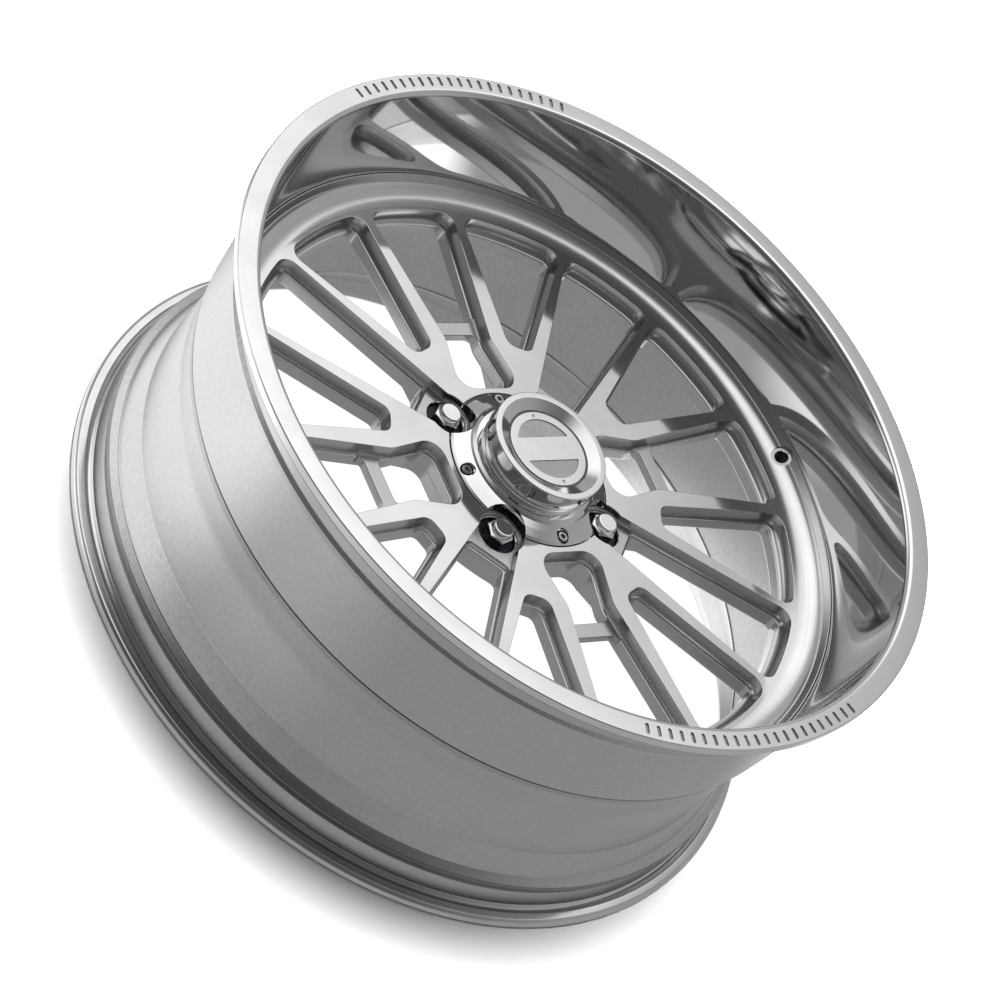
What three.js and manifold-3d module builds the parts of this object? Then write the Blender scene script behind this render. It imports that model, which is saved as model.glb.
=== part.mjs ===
// Forged racing wheel rim: a barrel with a deep front lip, a spoked centre disc set into it,
// a two-piece hub cap held by four screws, and four lug nuts on steel seats.
// Millimetres. The wheel axis is +Z, towards the outboard face. The origin is on the axis, in the
// plane of the inboard flange, so the wheel stands on that flange. +X passes through a cap screw.
import * as THREE from 'three';
import { mergeVertices } from 'three/addons/utils/BufferGeometryUtils.js';
import Module from 'manifold-3d';

const wasm = await Module();
wasm.setup();

// ---- driving dimensions ----
const GAP = 0.3; // between two solids that touch
const RIM_WIDTH = 279; // over both flanges
const FLANGE_RADIUS = 322; // outside of both flanges
const FLANGE_HEIGHT = 16.2; // flange above the bead seat
const FLANGE_THICKNESS = 9;
const BEAD_SEAT_WIDTH = 27;
const HUMP_HEIGHT = 0.8;
const RING_FACE_WIDTH = 17; // flat front face of the outer flange
const LIP_WALL = 8; // wall behind the front bead seat
const LIP_DRAFT = 10.5; // how far the lip closes in from the ring face to the disc
const BARREL_WALL = 6.2;
const WELL_START = 119; // from the front plane to the crease where the drop well begins
const WELL_END = 61; // from the rear plane to the end of the drop well
const WELL_START_DEPTH = 9.3; // below the bead seat
const WELL_END_DEPTH = 16.3; // below the bead seat

const FACE_DEPTH = 102.9; // spoke face below the front plane
const SPOKE_DEPTH = 24; // thickness of the spokes
const HUB_THICKNESS = 36.6; // spoke face to mounting face
const HUB_PAD_RADIUS = 98; // mounting face
const HUB_PAD_SLOPE = 24; // radial run from the mounting face to the back of the spokes
const PILOT_RADIUS = 66; // hub pilot bore, from the back
const PILOT_DEPTH = 12;
const DISC_EDGE_RISE = 13.9; // disc edge above the spoke face
const DISC_COVE_RUN = 25.5; // radial run of the cove from the spoke face to the disc edge
const DISC_EDGE_HEIGHT = 31; // length of the disc edge in its seat
const WELD_LEG = 7;

const WINDOW_END_MARGIN = 29.5; // disc edge to the outer end of the windows
const WINDOW_CORNER = 12; // fillets of the outer corners
const STEP_DEPTH = 8; // tapered upper part of every window wall
const STEP_SIDE = 4; // how far the taper comes in at the sides
const STEP_END = 8; // and at the outer end
const CORNER_LOSS = 0.6; // how much of the taper a corner's fillet loses

const LUG_COUNT = 4;
const LUG_CIRCLE_RADIUS = 78;
const LUG_POCKET_RADIUS = 20.5;
const LUG_COUNTERBORE_RADIUS = 17;
const LUG_COUNTERBORE_DEPTH = 17; // below the spoke face
const LUG_BOLT_HOLE_RADIUS = 8;
const SEAT_HEIGHT = 5;
const NUT_ACROSS_FLATS = 21;
const NUT_TOP = 2.8; // top of the nut above the spoke face
const NUT_CAP_RADIUS = 8.9;
const NUT_CAP_HEIGHT = 5;
const NUT_CONE_HEIGHT = 4.2;
const STUD_RADIUS = 6;
const NUT_WALL = 1.5; // beside the stud at the foot of the cone

const LUG_WEB = 27; // lug centre to the start of its window
const LUG_WINDOW_FROM_LUG = 7.4; // lug centre to where the lug window's width is measured
const LUG_WINDOW_HALF = 18.6; // its half width there
const LUG_WINDOW_TAPER = 0.1454; // its widening per unit of length
const LUG_WINDOW_CORNER = 6;
const BRIDGE_START = 137; // radius where the bridge in each axis window begins
const BRIDGE_WIDTH = 13;
const BRIDGE_THICKNESS = 8;
const AXIS_WINDOW_MARGIN = 4.75; // cap recess to the inner end of the axis window
const AXIS_WINDOW_INNER_HALF = 33;
const AXIS_WINDOW_WAIST_HALF = 24;
const AXIS_WINDOW_WAIST = 129; // radius of the waist
const AXIS_WINDOW_TAPER = 0.1653;
const AXIS_WINDOW_INNER_CORNER = 15;
const AXIS_WINDOW_WAIST_CORNER = 25;
const SIDE_WINDOW_APEX = [84.6, 36.4]; // where the two sides of the side window would meet
const SIDE_WINDOW_AXIS_ANGLE = 5.7; // direction of its side next to the axis window, degrees
const SIDE_WINDOW_LUG_ANGLE = 39.9; // direction of its side next to the lug window, degrees
const SIDE_WINDOW_BLUNT = 38.3; // apex to the inner corners, along the sides
const SIDE_WINDOW_CORNER = 10;

const CAP_FLANGE_RADIUS = 73.7;
const CAP_RECESS_CLEARANCE = 0.8;
const CAP_RECESS_DEPTH = 4.5;
const CAP_FLANGE_RISE = 3.7; // flange top at the screw circle
const CAP_SCREW_CIRCLE = 66.6;
const CAP_SHOULDER_RADIUS = 57;
const CAP_SHOULDER_HEIGHT = 7; // above the spoke face
const CAP_NECK_RADIUS = 48;
const CAP_WALL = 3;
const CAP_SPIGOT_RADIUS = 55.6;
const CAP_SPIGOT_DEPTH = 9; // below the spoke face
const CAP_BORE_RADIUS = 56;
const CAP_HEAD_RADIUS = 52;
const CAP_HEAD_TOP = 34; // above the spoke face
const CAP_HEAD_SKIRT = 15;
const CAP_HEAD_FLAT = 5.5; // width of the flat ring on top of the head
const CAP_DISH_DEPTH = 4.5; // head top to the medallion's face
const CAP_DISH_RADIUS = 37.4;
const CAP_THREAD_STEP = 1.6; // neck to the screwed upper part
const GASKET_THICKNESS = 0.9;
const MEDALLION_RADIUS = 35.6;
const MEDALLION_THICKNESS = 2.2;
const PAD_THICKNESS = 0.8;
const HEAD_FLOOR = 2.5;

const SCREW_COUNT = 4;
const SCREW_RADIUS = 2.5;
const SCREW_LENGTH = 15; // shank, from under the head
const SCREW_HEAD_RADIUS = 4.6;
const SCREW_HEAD_HEIGHT = 3.6;
const SCREW_RECESS_RADIUS = 6.2;
const SCREW_SOCKET_RADIUS = 2.3;

const VALVE_RADIUS = 5.7;
const VALVE_COUNTERBORE_RADIUS = 9.3;
const VALVE_COUNTERBORE_DEPTH = 4.5; // below the cove's chord
const VALVE_FROM_EDGE = 9.4; // disc edge to the valve hole's centre, measured radially

const RIM_SEGMENTS = 48;
const CAP_SEGMENTS = 32;
const ROUND_SEGMENTS = 12;
const POCKET_SEGMENTS = 24;

// ---- derived places ----
const FACE_Z = RIM_WIDTH - FACE_DEPTH;
const MOUNT_Z = FACE_Z - HUB_THICKNESS;
const SPOKE_BACK_Z = FACE_Z - SPOKE_DEPTH;
const BEAD_RADIUS = FLANGE_RADIUS - FLANGE_HEIGHT;
const RING_INNER_RADIUS = FLANGE_RADIUS - RING_FACE_WIDTH;
const LIP_END_RADIUS = RING_INNER_RADIUS - LIP_WALL / 2 - LIP_DRAFT;
const SEAT_RADIUS = LIP_END_RADIUS - 0.5;
const DISC_RADIUS = SEAT_RADIUS - GAP;
const DISC_EDGE_Z = FACE_Z + DISC_EDGE_RISE;
const SHOULDER_Z = DISC_EDGE_Z - DISC_EDGE_HEIGHT;
const WELL_RADIUS = BEAD_RADIUS - WELL_END_DEPTH;
const INNER_RADIUS = WELL_RADIUS - BARREL_WALL;
const WINDOW_END_RADIUS = DISC_RADIUS - WINDOW_END_MARGIN;
const CAP_RECESS_RADIUS = CAP_FLANGE_RADIUS + CAP_RECESS_CLEARANCE;
const QUARTER = Math.PI / 2;
const LUG_ANGLE = Math.PI / LUG_COUNT;
const VALVE_X = DISC_RADIUS - VALVE_FROM_EDGE;
const HEAD_BOTTOM_Z = FACE_Z + CAP_HEAD_TOP - CAP_HEAD_SKIRT;
const MEDALLION_TOP_Z = FACE_Z + CAP_HEAD_TOP - CAP_DISH_DEPTH;
const MEDALLION_Z = MEDALLION_TOP_Z - MEDALLION_THICKNESS;
const HEAD_FLOOR_Z = MEDALLION_Z - PAD_THICKNESS - 2 * GAP;
const FLANGE_BOTTOM_Z = FACE_Z - CAP_RECESS_DEPTH + GASKET_THICKNESS + 2 * GAP;
const SCREW_SEAT_Z = FACE_Z + CAP_FLANGE_RISE - SCREW_HEAD_HEIGHT - 0.6;
const SEAT_TOP_Z = FACE_Z - LUG_COUNTERBORE_DEPTH + GAP + SEAT_HEIGHT;
const NUT_CONE_TOP = NUT_ACROSS_FLATS / 2 - GAP;
const NUT_CONE_BOTTOM = STUD_RADIUS + NUT_WALL;

// ---- solids ----
function toSolid(geometry) {
  const bare = geometry.index ? geometry.toNonIndexed() : geometry.clone();
  bare.deleteAttribute('normal');
  bare.deleteAttribute('uv');
  const merged = mergeVertices(bare, 1e-3);
  return new wasm.Manifold(new wasm.Mesh({
    numProp: 3,
    vertProperties: merged.attributes.position.array,
    triVerts: new Uint32Array(merged.index.array),
  }));
}

function toGeometry(solid) {
  const mesh = solid.getMesh();
  const geometry = new THREE.BufferGeometry();
  geometry.setAttribute('position', new THREE.BufferAttribute(mesh.vertProperties, 3));
  geometry.setIndex(new THREE.BufferAttribute(mesh.triVerts, 1));
  geometry.computeVertexNormals();
  return geometry;
}

// A closed profile of [radius, z] points, anticlockwise in the half plane, turned about +Z.
function turned(profile, segments) {
  const points = [...profile, profile[0]].map(([r, z]) => new THREE.Vector2(r, z));
  return toSolid(new THREE.LatheGeometry(points, segments).rotateX(Math.PI / 2));
}

// A cylinder along +Z between two heights, centred on (x, y).
function post(x, y, radius, low, high, segments = ROUND_SEGMENTS) {
  const geometry = new THREE.CylinderGeometry(radius, radius, high - low, segments);
  geometry.rotateX(Math.PI / 2).translate(x, y, (low + high) / 2);
  return toSolid(geometry);
}

// A solid between two outlines of the same number of points, at two heights.
function loft(lowOutline, low, highOutline, high) {
  const count = lowOutline.length;
  const positions = [];
  lowOutline.forEach((p) => positions.push(p.x, p.y, low));
  highOutline.forEach((p) => positions.push(p.x, p.y, high));
  const index = [];
  for (let i = 0; i < count; i += 1) {
    const j = (i + 1) % count;
    index.push(i, j, j + count, i, j + count, i + count);
  }
  THREE.ShapeUtils.triangulateShape(lowOutline, []).forEach(([a, b, c]) => index.push(c, b, a));
  THREE.ShapeUtils.triangulateShape(highOutline, []).forEach(([a, b, c]) => {
    index.push(a + count, b + count, c + count);
  });
  const geometry = new THREE.BufferGeometry();
  geometry.setAttribute('position', new THREE.Float32BufferAttribute(positions, 3));
  geometry.setIndex(index);
  return toSolid(geometry);
}

function turnedCopies(solid, count, first = 0) {
  const step = 360 / count;
  return Array.from({ length: count }, (_, i) => solid.rotate([0, 0, first + i * step]));
}

function cutAll(solid, cutters) {
  return cutters.reduce((left, cutter) => left.subtract(cutter), solid);
}

function onCircle(radius, angle) {
  return new THREE.Vector2(radius * Math.cos(angle), radius * Math.sin(angle));
}

// ---- outlines of the windows ----
// Each outline is a polygon with an inset for every edge and a fillet for every corner.
function insetPolygon(corners, insets) {
  const count = corners.length;
  const edges = corners.map((a, i) => {
    const b = corners[(i + 1) % count];
    const along = b.clone().sub(a).normalize();
    const start = new THREE.Vector2(a.x - along.y * insets[i], a.y + along.x * insets[i]);
    return { start, along };
  });
  return corners.map((_, i) => {
    const before = edges[(i + count - 1) % count];
    const after = edges[i];
    const turn = before.along.cross(after.along);
    const across = after.start.clone().sub(before.start);
    return before.start.clone().addScaledVector(before.along, across.cross(after.along) / turn);
  });
}

function filletPolygon(corners, radii, steps = 3) {
  const count = corners.length;
  return corners.flatMap((corner, i) => {
    if (radii[i] === 0) return [corner];
    const back = corners[(i + count - 1) % count].clone().sub(corner);
    const ahead = corners[(i + 1) % count].clone().sub(corner);
    const half = Math.abs(Math.PI - back.angleTo(ahead)) / 2;
    const wanted = radii[i] * Math.tan(half);
    const reach = Math.min(wanted, 0.49 * back.length(), 0.49 * ahead.length());
    const radius = reach / Math.tan(half);
    back.normalize();
    ahead.normalize();
    const centre = back.clone().add(ahead).normalize().multiplyScalar(radius / Math.cos(half)).add(corner);
    const first = corner.clone().addScaledVector(back, reach).sub(centre);
    const sign = Math.sign(ahead.cross(back));
    return Array.from({ length: steps + 1 }, (_, k) => {
      const angle = sign * 2 * half * (k / steps);
      return first.clone().rotateAround(new THREE.Vector2(), angle).add(centre);
    });
  });
}

// Where a line from a point along an angle meets the circle on which the windows end.
function toWindowEnd(x, y, angle) {
  const dx = Math.cos(angle);
  const dy = Math.sin(angle);
  const along = x * dx + y * dy;
  const reach = -along + Math.sqrt(along * along - x * x - y * y + WINDOW_END_RADIUS ** 2);
  return new THREE.Vector2(x + dx * reach, y + dy * reach);
}

// Points along the windows' end circle between two corners, without the corners.
function endArc(from, to, steps = 4) {
  const a = Math.atan2(from.y, from.x);
  const b = Math.atan2(to.y, to.x);
  return Array.from({ length: steps - 1 }, (_, k) => {
    return onCircle(WINDOW_END_RADIUS, a + ((b - a) * (k + 1)) / steps);
  });
}

// A window is its inner corners, then its two outer corners with the end arc between them.
// Anticlockwise: lower inner corner(s), lower outer corner, end arc, upper outer, upper inner.
function windowOutline(lower, upper, lowerAngle, upperAngle, innerRadii, inset) {
  const lowerEnd = toWindowEnd(lower.at(-1).x, lower.at(-1).y, lowerAngle);
  const upperEnd = toWindowEnd(upper[0].x, upper[0].y, upperAngle);
  const arc = endArc(lowerEnd, upperEnd);
  const corners = [...lower, lowerEnd, ...arc, upperEnd, ...upper];
  const sideEdges = lower.length;
  const insets = corners.map((_, i) => {
    if (i < sideEdges) return inset.side;
    return i <= sideEdges + arc.length ? inset.end : inset.side;
  });
  const tightened = inset.side > 0 ? Math.max(inset.side, inset.end) : 0;
  const outer = WINDOW_CORNER - tightened * CORNER_LOSS;
  const inner = innerRadii.map((r) => r - inset.side * CORNER_LOSS);
  const radii = [...inner, outer, ...arc.map(() => 0), outer, ...[...inner].reverse()];
  return filletPolygon(insetPolygon(corners, insets), radii);
}

const NO_INSET = { side: 0, end: 0 };
const STEP_INSET = { side: STEP_SIDE, end: STEP_END };

// The lug window lies along +X here and is turned onto each lug.
function lugWindow(inset, start) {
  const along = start - LUG_CIRCLE_RADIUS - LUG_WINDOW_FROM_LUG;
  const half = LUG_WINDOW_HALF + along * LUG_WINDOW_TAPER;
  const slope = Math.atan(LUG_WINDOW_TAPER);
  const lower = [new THREE.Vector2(start, -half)];
  const upper = [new THREE.Vector2(start, half)];
  return windowOutline(lower, upper, -slope, slope, [LUG_WINDOW_CORNER], inset);
}

// The axis window narrows to a waist at its bridge, then widens.
function axisWindow(inset) {
  const start = CAP_RECESS_RADIUS + AXIS_WINDOW_MARGIN;
  const slope = Math.atan(AXIS_WINDOW_TAPER);
  const inner = new THREE.Vector2(start, AXIS_WINDOW_INNER_HALF);
  const waist = new THREE.Vector2(AXIS_WINDOW_WAIST, AXIS_WINDOW_WAIST_HALF);
  const below = (p) => new THREE.Vector2(p.x, -p.y);
  const lower = [below(inner), below(waist)];
  const radii = [AXIS_WINDOW_INNER_CORNER, AXIS_WINDOW_WAIST_CORNER];
  return windowOutline(lower, [waist, inner], -slope, slope, radii, inset);
}

function sideWindow(inset) {
  const [x, y] = SIDE_WINDOW_APEX;
  const axisSide = THREE.MathUtils.degToRad(SIDE_WINDOW_AXIS_ANGLE);
  const lugSide = THREE.MathUtils.degToRad(SIDE_WINDOW_LUG_ANGLE);
  const apex = new THREE.Vector2(x, y);
  const lower = [onCircle(SIDE_WINDOW_BLUNT, axisSide).add(apex)];
  const upper = [onCircle(SIDE_WINDOW_BLUNT, lugSide).add(apex)];
  return windowOutline(lower, upper, axisSide, lugSide, [SIDE_WINDOW_CORNER], inset);
}

function mirrored(outline) {
  return outline.map((p) => new THREE.Vector2(p.x, -p.y)).reverse();
}

// Cuts one window: a tapered step from the spoke face, then straight through.
function windowCutters(outline) {
  const face = outline(NO_INSET);
  const step = outline(STEP_INSET);
  const top = FACE_Z + 1;
  const stepZ = FACE_Z - STEP_DEPTH;
  return [
    loft(step, stepZ, face, FACE_Z),
    loft(face, FACE_Z - 0.01, face, top),
    loft(step, MOUNT_Z - 1, step, stepZ + 0.01),
  ];
}

// The axis window keeps a bridge between its two sides, at the level of the step.
function axisWindowCutter() {
  const [taper, above, through] = windowCutters(axisWindow);
  const top = FACE_Z - STEP_DEPTH;
  const block = new THREE.BoxGeometry(BRIDGE_WIDTH, 4 * AXIS_WINDOW_WAIST_HALF, BRIDGE_THICKNESS);
  block.translate(BRIDGE_START + BRIDGE_WIDTH / 2, 0, top - BRIDGE_THICKNESS / 2);
  return [taper, above, through.subtract(toSolid(block))];
}

// The lug window opens from the lug's own pocket, whose floor carries on as a web.
function lugWindowCutter() {
  const stepZ = FACE_Z - STEP_DEPTH;
  const pocket = lugWindow(NO_INSET, LUG_CIRCLE_RADIUS);
  const floor = lugWindow(STEP_INSET, LUG_CIRCLE_RADIUS);
  const through = lugWindow(STEP_INSET, LUG_CIRCLE_RADIUS + LUG_WEB - STEP_SIDE);
  const counterboreZ = FACE_Z - LUG_COUNTERBORE_DEPTH;
  const lug = LUG_CIRCLE_RADIUS;
  return [
    loft(floor, stepZ, pocket, FACE_Z),
    loft(pocket, FACE_Z - 0.01, pocket, FACE_Z + 1),
    loft(through, MOUNT_Z - 1, through, stepZ + 0.01),
    post(lug, 0, LUG_POCKET_RADIUS, stepZ, FACE_Z + 1, POCKET_SEGMENTS),
    post(lug, 0, LUG_COUNTERBORE_RADIUS, counterboreZ, FACE_Z, POCKET_SEGMENTS),
    post(lug, 0, LUG_BOLT_HOLE_RADIUS, MOUNT_Z - 1, FACE_Z),
  ];
}

// ---- wheel pieces ----
// Outside of the barrel from one flange to the other, then the inside back to the front.
function makeBarrel() {
  const top = RIM_WIDTH;
  const back = FLANGE_THICKNESS;
  const hump = BEAD_RADIUS + HUMP_HEIGHT;
  const humpZ = FLANGE_THICKNESS + BEAD_SEAT_WIDTH;
  const crease = BEAD_RADIUS - WELL_START_DEPTH;
  const wellZ = WELL_END;
  const flange = FLANGE_RADIUS;
  const rearWall = BEAD_RADIUS - 7.5;
  const outside = [
    [flange - 15, 0],
    [flange - 4, 0],
    [flange - 1, 2],
    [flange, 5],
    [flange, back - 1.5],
    [flange - 2, back + 1.3],
    [flange - 9, back + 3.5],
    [BEAD_RADIUS + 3, back + 5.5],
    [BEAD_RADIUS, back + 11],
    [BEAD_RADIUS - 1.6, humpZ - 5],
    [hump - 0.8, humpZ],
    [hump - 3.2, humpZ + 4],
    [WELL_RADIUS + 1, wellZ],
    [WELL_RADIUS - 1, wellZ + 8],
    [WELL_RADIUS + 0.2, top - WELL_START - 35],
    [crease - 2.4, top - WELL_START - 10],
    [crease, top - WELL_START],
    [BEAD_RADIUS - 0.6, top - humpZ - 5],
    [hump, top - humpZ],
    [BEAD_RADIUS - 1.2, top - humpZ + 4],
    [BEAD_RADIUS, top - back - 10],
    [BEAD_RADIUS + 4, top - back - 4],
    [flange - 1, top - back + 1],
    [flange, top - back + 2.5],
    [flange, top - 2],
    [flange - 1.6, top],
    [RING_INNER_RADIUS, top],
  ];
  const lip = RING_INNER_RADIUS - LIP_WALL / 2;
  const inside = [
    [lip + 1, top - 1.2],
    [lip, top - 4],
    [LIP_END_RADIUS + 0.6, DISC_EDGE_Z + 4],
    [LIP_END_RADIUS, DISC_EDGE_Z + 1.2],
    [SEAT_RADIUS, DISC_EDGE_Z + 0.6],
    [SEAT_RADIUS, SHOULDER_Z - GAP],
    [INNER_RADIUS, SHOULDER_Z - GAP],
    [INNER_RADIUS, wellZ - 6],
    [INNER_RADIUS + 1, wellZ - 9],
    [rearWall - 1, humpZ],
    [rearWall, 14],
  ];
  return turned([...outside, ...inside], RIM_SEGMENTS);
}

function makeCentreDisc() {
  const coveSteps = 6;
  // The cove is an arc that starts level with the spoke face and rises to the disc edge.
  const coveAngle = 2 * Math.atan(DISC_EDGE_RISE / DISC_COVE_RUN);
  const coveRadius = DISC_COVE_RUN / Math.sin(coveAngle);
  const cove = Array.from({ length: coveSteps + 1 }, (_, i) => {
    const angle = (coveAngle * i) / coveSteps;
    const radius = DISC_RADIUS - DISC_COVE_RUN + coveRadius * Math.sin(angle);
    return [radius, FACE_Z + coveRadius * (1 - Math.cos(angle))];
  });
  const registerRadius = INNER_RADIUS - GAP;
  const profile = [
    [PILOT_RADIUS, MOUNT_Z],
    [HUB_PAD_RADIUS, MOUNT_Z],
    [HUB_PAD_RADIUS + HUB_PAD_SLOPE, SPOKE_BACK_Z],
    [registerRadius, SPOKE_BACK_Z],
    [registerRadius, SHOULDER_Z],
    [DISC_RADIUS, SHOULDER_Z],
    ...cove.reverse(),
    [CAP_RECESS_RADIUS, FACE_Z],
    [CAP_RECESS_RADIUS, FACE_Z - CAP_RECESS_DEPTH],
    [CAP_BORE_RADIUS, FACE_Z - CAP_RECESS_DEPTH],
    [CAP_BORE_RADIUS, MOUNT_Z + PILOT_DEPTH],
    [PILOT_RADIUS, MOUNT_Z + PILOT_DEPTH],
  ];
  const screwLow = SCREW_SEAT_Z - SCREW_LENGTH - 2;
  const screwHole = post(CAP_SCREW_CIRCLE, 0, SCREW_RADIUS + GAP, screwLow, FACE_Z, 12);
  const cutters = [
    ...axisWindowCutter().flatMap((c) => turnedCopies(c, LUG_COUNT)),
    ...lugWindowCutter().flatMap((c) => turnedCopies(c, LUG_COUNT, 180 / LUG_COUNT)),
    ...windowCutters(sideWindow).flatMap((c) => turnedCopies(c, LUG_COUNT)),
    ...windowCutters((inset) => mirrored(sideWindow(inset))).flatMap((c) => turnedCopies(c, LUG_COUNT)),
    ...turnedCopies(screwHole, SCREW_COUNT),
    ...valveHole(),
  ];
  return cutAll(turned(profile, RIM_SEGMENTS), cutters);
}

// The valve hole is square to the cove's chord, with a flat counterbore.
function valveHole() {
  const tilt = Math.atan2(DISC_EDGE_RISE, DISC_COVE_RUN);
  const length = 4 * DISC_EDGE_HEIGHT;
  const place = (geometry, along) => {
    geometry.rotateX(Math.PI / 2).translate(0, 0, along).rotateY(-tilt);
    geometry.translate(VALVE_X, 0, FACE_Z + DISC_EDGE_RISE - VALVE_FROM_EDGE * Math.tan(tilt));
    return toSolid(geometry);
  };
  const through = new THREE.CylinderGeometry(VALVE_RADIUS, VALVE_RADIUS, length, ROUND_SEGMENTS);
  const wide = VALVE_COUNTERBORE_RADIUS;
  const counterbore = new THREE.CylinderGeometry(wide, wide, length, ROUND_SEGMENTS + 4);
  return [place(through, 0), place(counterbore, length / 2 - VALVE_COUNTERBORE_DEPTH)];
}

function makeWeld() {
  const high = SPOKE_BACK_Z - GAP;
  const wide = INNER_RADIUS - GAP;
  const profile = [
    [wide - WELD_LEG, high],
    [wide - WELD_LEG * 0.35, high - WELD_LEG * 0.6],
    [wide, high - WELD_LEG * 1.3],
    [wide, high],
  ];
  return turned(profile, RIM_SEGMENTS);
}

// ---- cap pieces ----
function lugScallops(clearance, low, high) {
  const radius = LUG_POCKET_RADIUS + clearance;
  const scallop = post(LUG_CIRCLE_RADIUS, 0, radius, low, high, POCKET_SEGMENTS);
  return turnedCopies(scallop, LUG_COUNT, 180 / LUG_COUNT);
}

function makeCapGasket() {
  const low = FACE_Z - CAP_RECESS_DEPTH + GAP;
  const high = low + GASKET_THICKNESS;
  const inner = CAP_SPIGOT_RADIUS + GAP;
  const ring = turned([
    [inner, low],
    [CAP_FLANGE_RADIUS - 1, low],
    [CAP_FLANGE_RADIUS - 1, high],
    [inner, high],
  ], CAP_SEGMENTS);
  const hole = post(CAP_SCREW_CIRCLE, 0, SCREW_RADIUS + GAP, low - 1, high + 1, 12);
  const cutters = [...lugScallops(0.6, low - 1, high + 1), ...turnedCopies(hole, SCREW_COUNT)];
  return cutAll(ring, cutters);
}

// Spigot, scalloped flange, shoulder and neck in one turned piece, hollow for the hub's nut.
function makeCapBase() {
  const bore = CAP_NECK_RADIUS - CAP_THREAD_STEP - CAP_WALL;
  const shoulderZ = FACE_Z + CAP_SHOULDER_HEIGHT;
  const screwed = CAP_NECK_RADIUS - CAP_THREAD_STEP;
  const profile = [
    [bore, FACE_Z - CAP_SPIGOT_DEPTH],
    [CAP_SPIGOT_RADIUS, FACE_Z - CAP_SPIGOT_DEPTH],
    [CAP_SPIGOT_RADIUS, FLANGE_BOTTOM_Z],
    [CAP_FLANGE_RADIUS, FLANGE_BOTTOM_Z],
    [CAP_FLANGE_RADIUS, FACE_Z],
    [CAP_FLANGE_RADIUS - 1, FACE_Z + 0.8],
    [CAP_SCREW_CIRCLE, FACE_Z + CAP_FLANGE_RISE],
    [CAP_SHOULDER_RADIUS + 1.5, shoulderZ - 0.8],
    [CAP_SHOULDER_RADIUS, shoulderZ],
    [CAP_SHOULDER_RADIUS - 2.5, shoulderZ + 1.6],
    [CAP_NECK_RADIUS + 2, shoulderZ + 2.2],
    [CAP_NECK_RADIUS, shoulderZ + 4],
    [CAP_NECK_RADIUS, HEAD_BOTTOM_Z - GAP],
    [screwed, HEAD_BOTTOM_Z - GAP],
    [screwed, HEAD_FLOOR_Z - HEAD_FLOOR - GAP],
    [bore, HEAD_FLOOR_Z - HEAD_FLOOR - GAP],
  ];
  const recess = post(CAP_SCREW_CIRCLE, 0, SCREW_RECESS_RADIUS, SCREW_SEAT_Z, FACE_Z + 20, ROUND_SEGMENTS);
  const hole = post(CAP_SCREW_CIRCLE, 0, SCREW_RADIUS + GAP, FACE_Z - 20, FACE_Z + 20, 12);
  return cutAll(turned(profile, CAP_SEGMENTS), [
    ...lugScallops(0, FACE_Z - 20, FACE_Z + CAP_SHOULDER_HEIGHT + 20),
    ...turnedCopies(recess, SCREW_COUNT),
    ...turnedCopies(hole, SCREW_COUNT),
  ]);
}

function makeCapHead() {
  const top = FACE_Z + CAP_HEAD_TOP;
  const inner = CAP_NECK_RADIUS - CAP_THREAD_STEP + GAP;
  const floor = HEAD_FLOOR_Z;
  return turned([
    [0, floor - HEAD_FLOOR],
    [inner, floor - HEAD_FLOOR],
    [inner, HEAD_BOTTOM_Z],
    [CAP_HEAD_RADIUS - 1.2, HEAD_BOTTOM_Z],
    [CAP_HEAD_RADIUS, HEAD_BOTTOM_Z + 1.2],
    [CAP_HEAD_RADIUS, top - 0.8],
    [CAP_HEAD_RADIUS - 0.8, top],
    [CAP_HEAD_RADIUS - CAP_HEAD_FLAT, top],
    [CAP_DISH_RADIUS, MEDALLION_TOP_Z],
    [CAP_DISH_RADIUS, floor],
    [0, floor],
  ], CAP_SEGMENTS);
}

// A flat disc on the axis.
function plate(radius, low, high) {
  return turned([[0, low], [radius, low], [radius, high], [0, high]], CAP_SEGMENTS);
}

function makeMedallionRing() {
  const inner = MEDALLION_RADIUS + GAP;
  const outer = CAP_DISH_RADIUS - GAP;
  const low = HEAD_FLOOR_Z + GAP;
  const high = MEDALLION_TOP_Z - 0.2;
  return turned([[inner, low], [outer, low], [outer, high], [inner, high]], CAP_SEGMENTS);
}

function makeCapScrew() {
  const top = SCREW_SEAT_Z + GAP + SCREW_HEAD_HEIGHT;
  const under = SCREW_SEAT_Z + GAP;
  const socket = new THREE.CylinderGeometry(SCREW_SOCKET_RADIUS, SCREW_SOCKET_RADIUS, 4, 6);
  socket.rotateX(Math.PI / 2).translate(0, 0, top);
  return turned([
    [0, under - SCREW_LENGTH],
    [SCREW_RADIUS, under - SCREW_LENGTH],
    [SCREW_RADIUS, under],
    [SCREW_HEAD_RADIUS, under],
    [SCREW_HEAD_RADIUS, top - 0.5],
    [SCREW_HEAD_RADIUS - 0.5, top],
    [0, top],
  ], ROUND_SEGMENTS).subtract(toSolid(socket));
}

// ---- lug pieces, made on the wheel axis and moved out to each lug ----
function makeLugSeat() {
  const low = SEAT_TOP_Z - SEAT_HEIGHT;
  const coneLow = SEAT_TOP_Z - NUT_CONE_HEIGHT;
  const clearance = GAP * 1.3;
  return turned([
    [NUT_CONE_BOTTOM + clearance, low],
    [LUG_COUNTERBORE_RADIUS - GAP, low],
    [LUG_COUNTERBORE_RADIUS - GAP, SEAT_TOP_Z],
    [NUT_CONE_TOP + clearance, SEAT_TOP_Z],
    [NUT_CONE_BOTTOM + clearance, coneLow],
  ], ROUND_SEGMENTS + 4);
}

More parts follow.
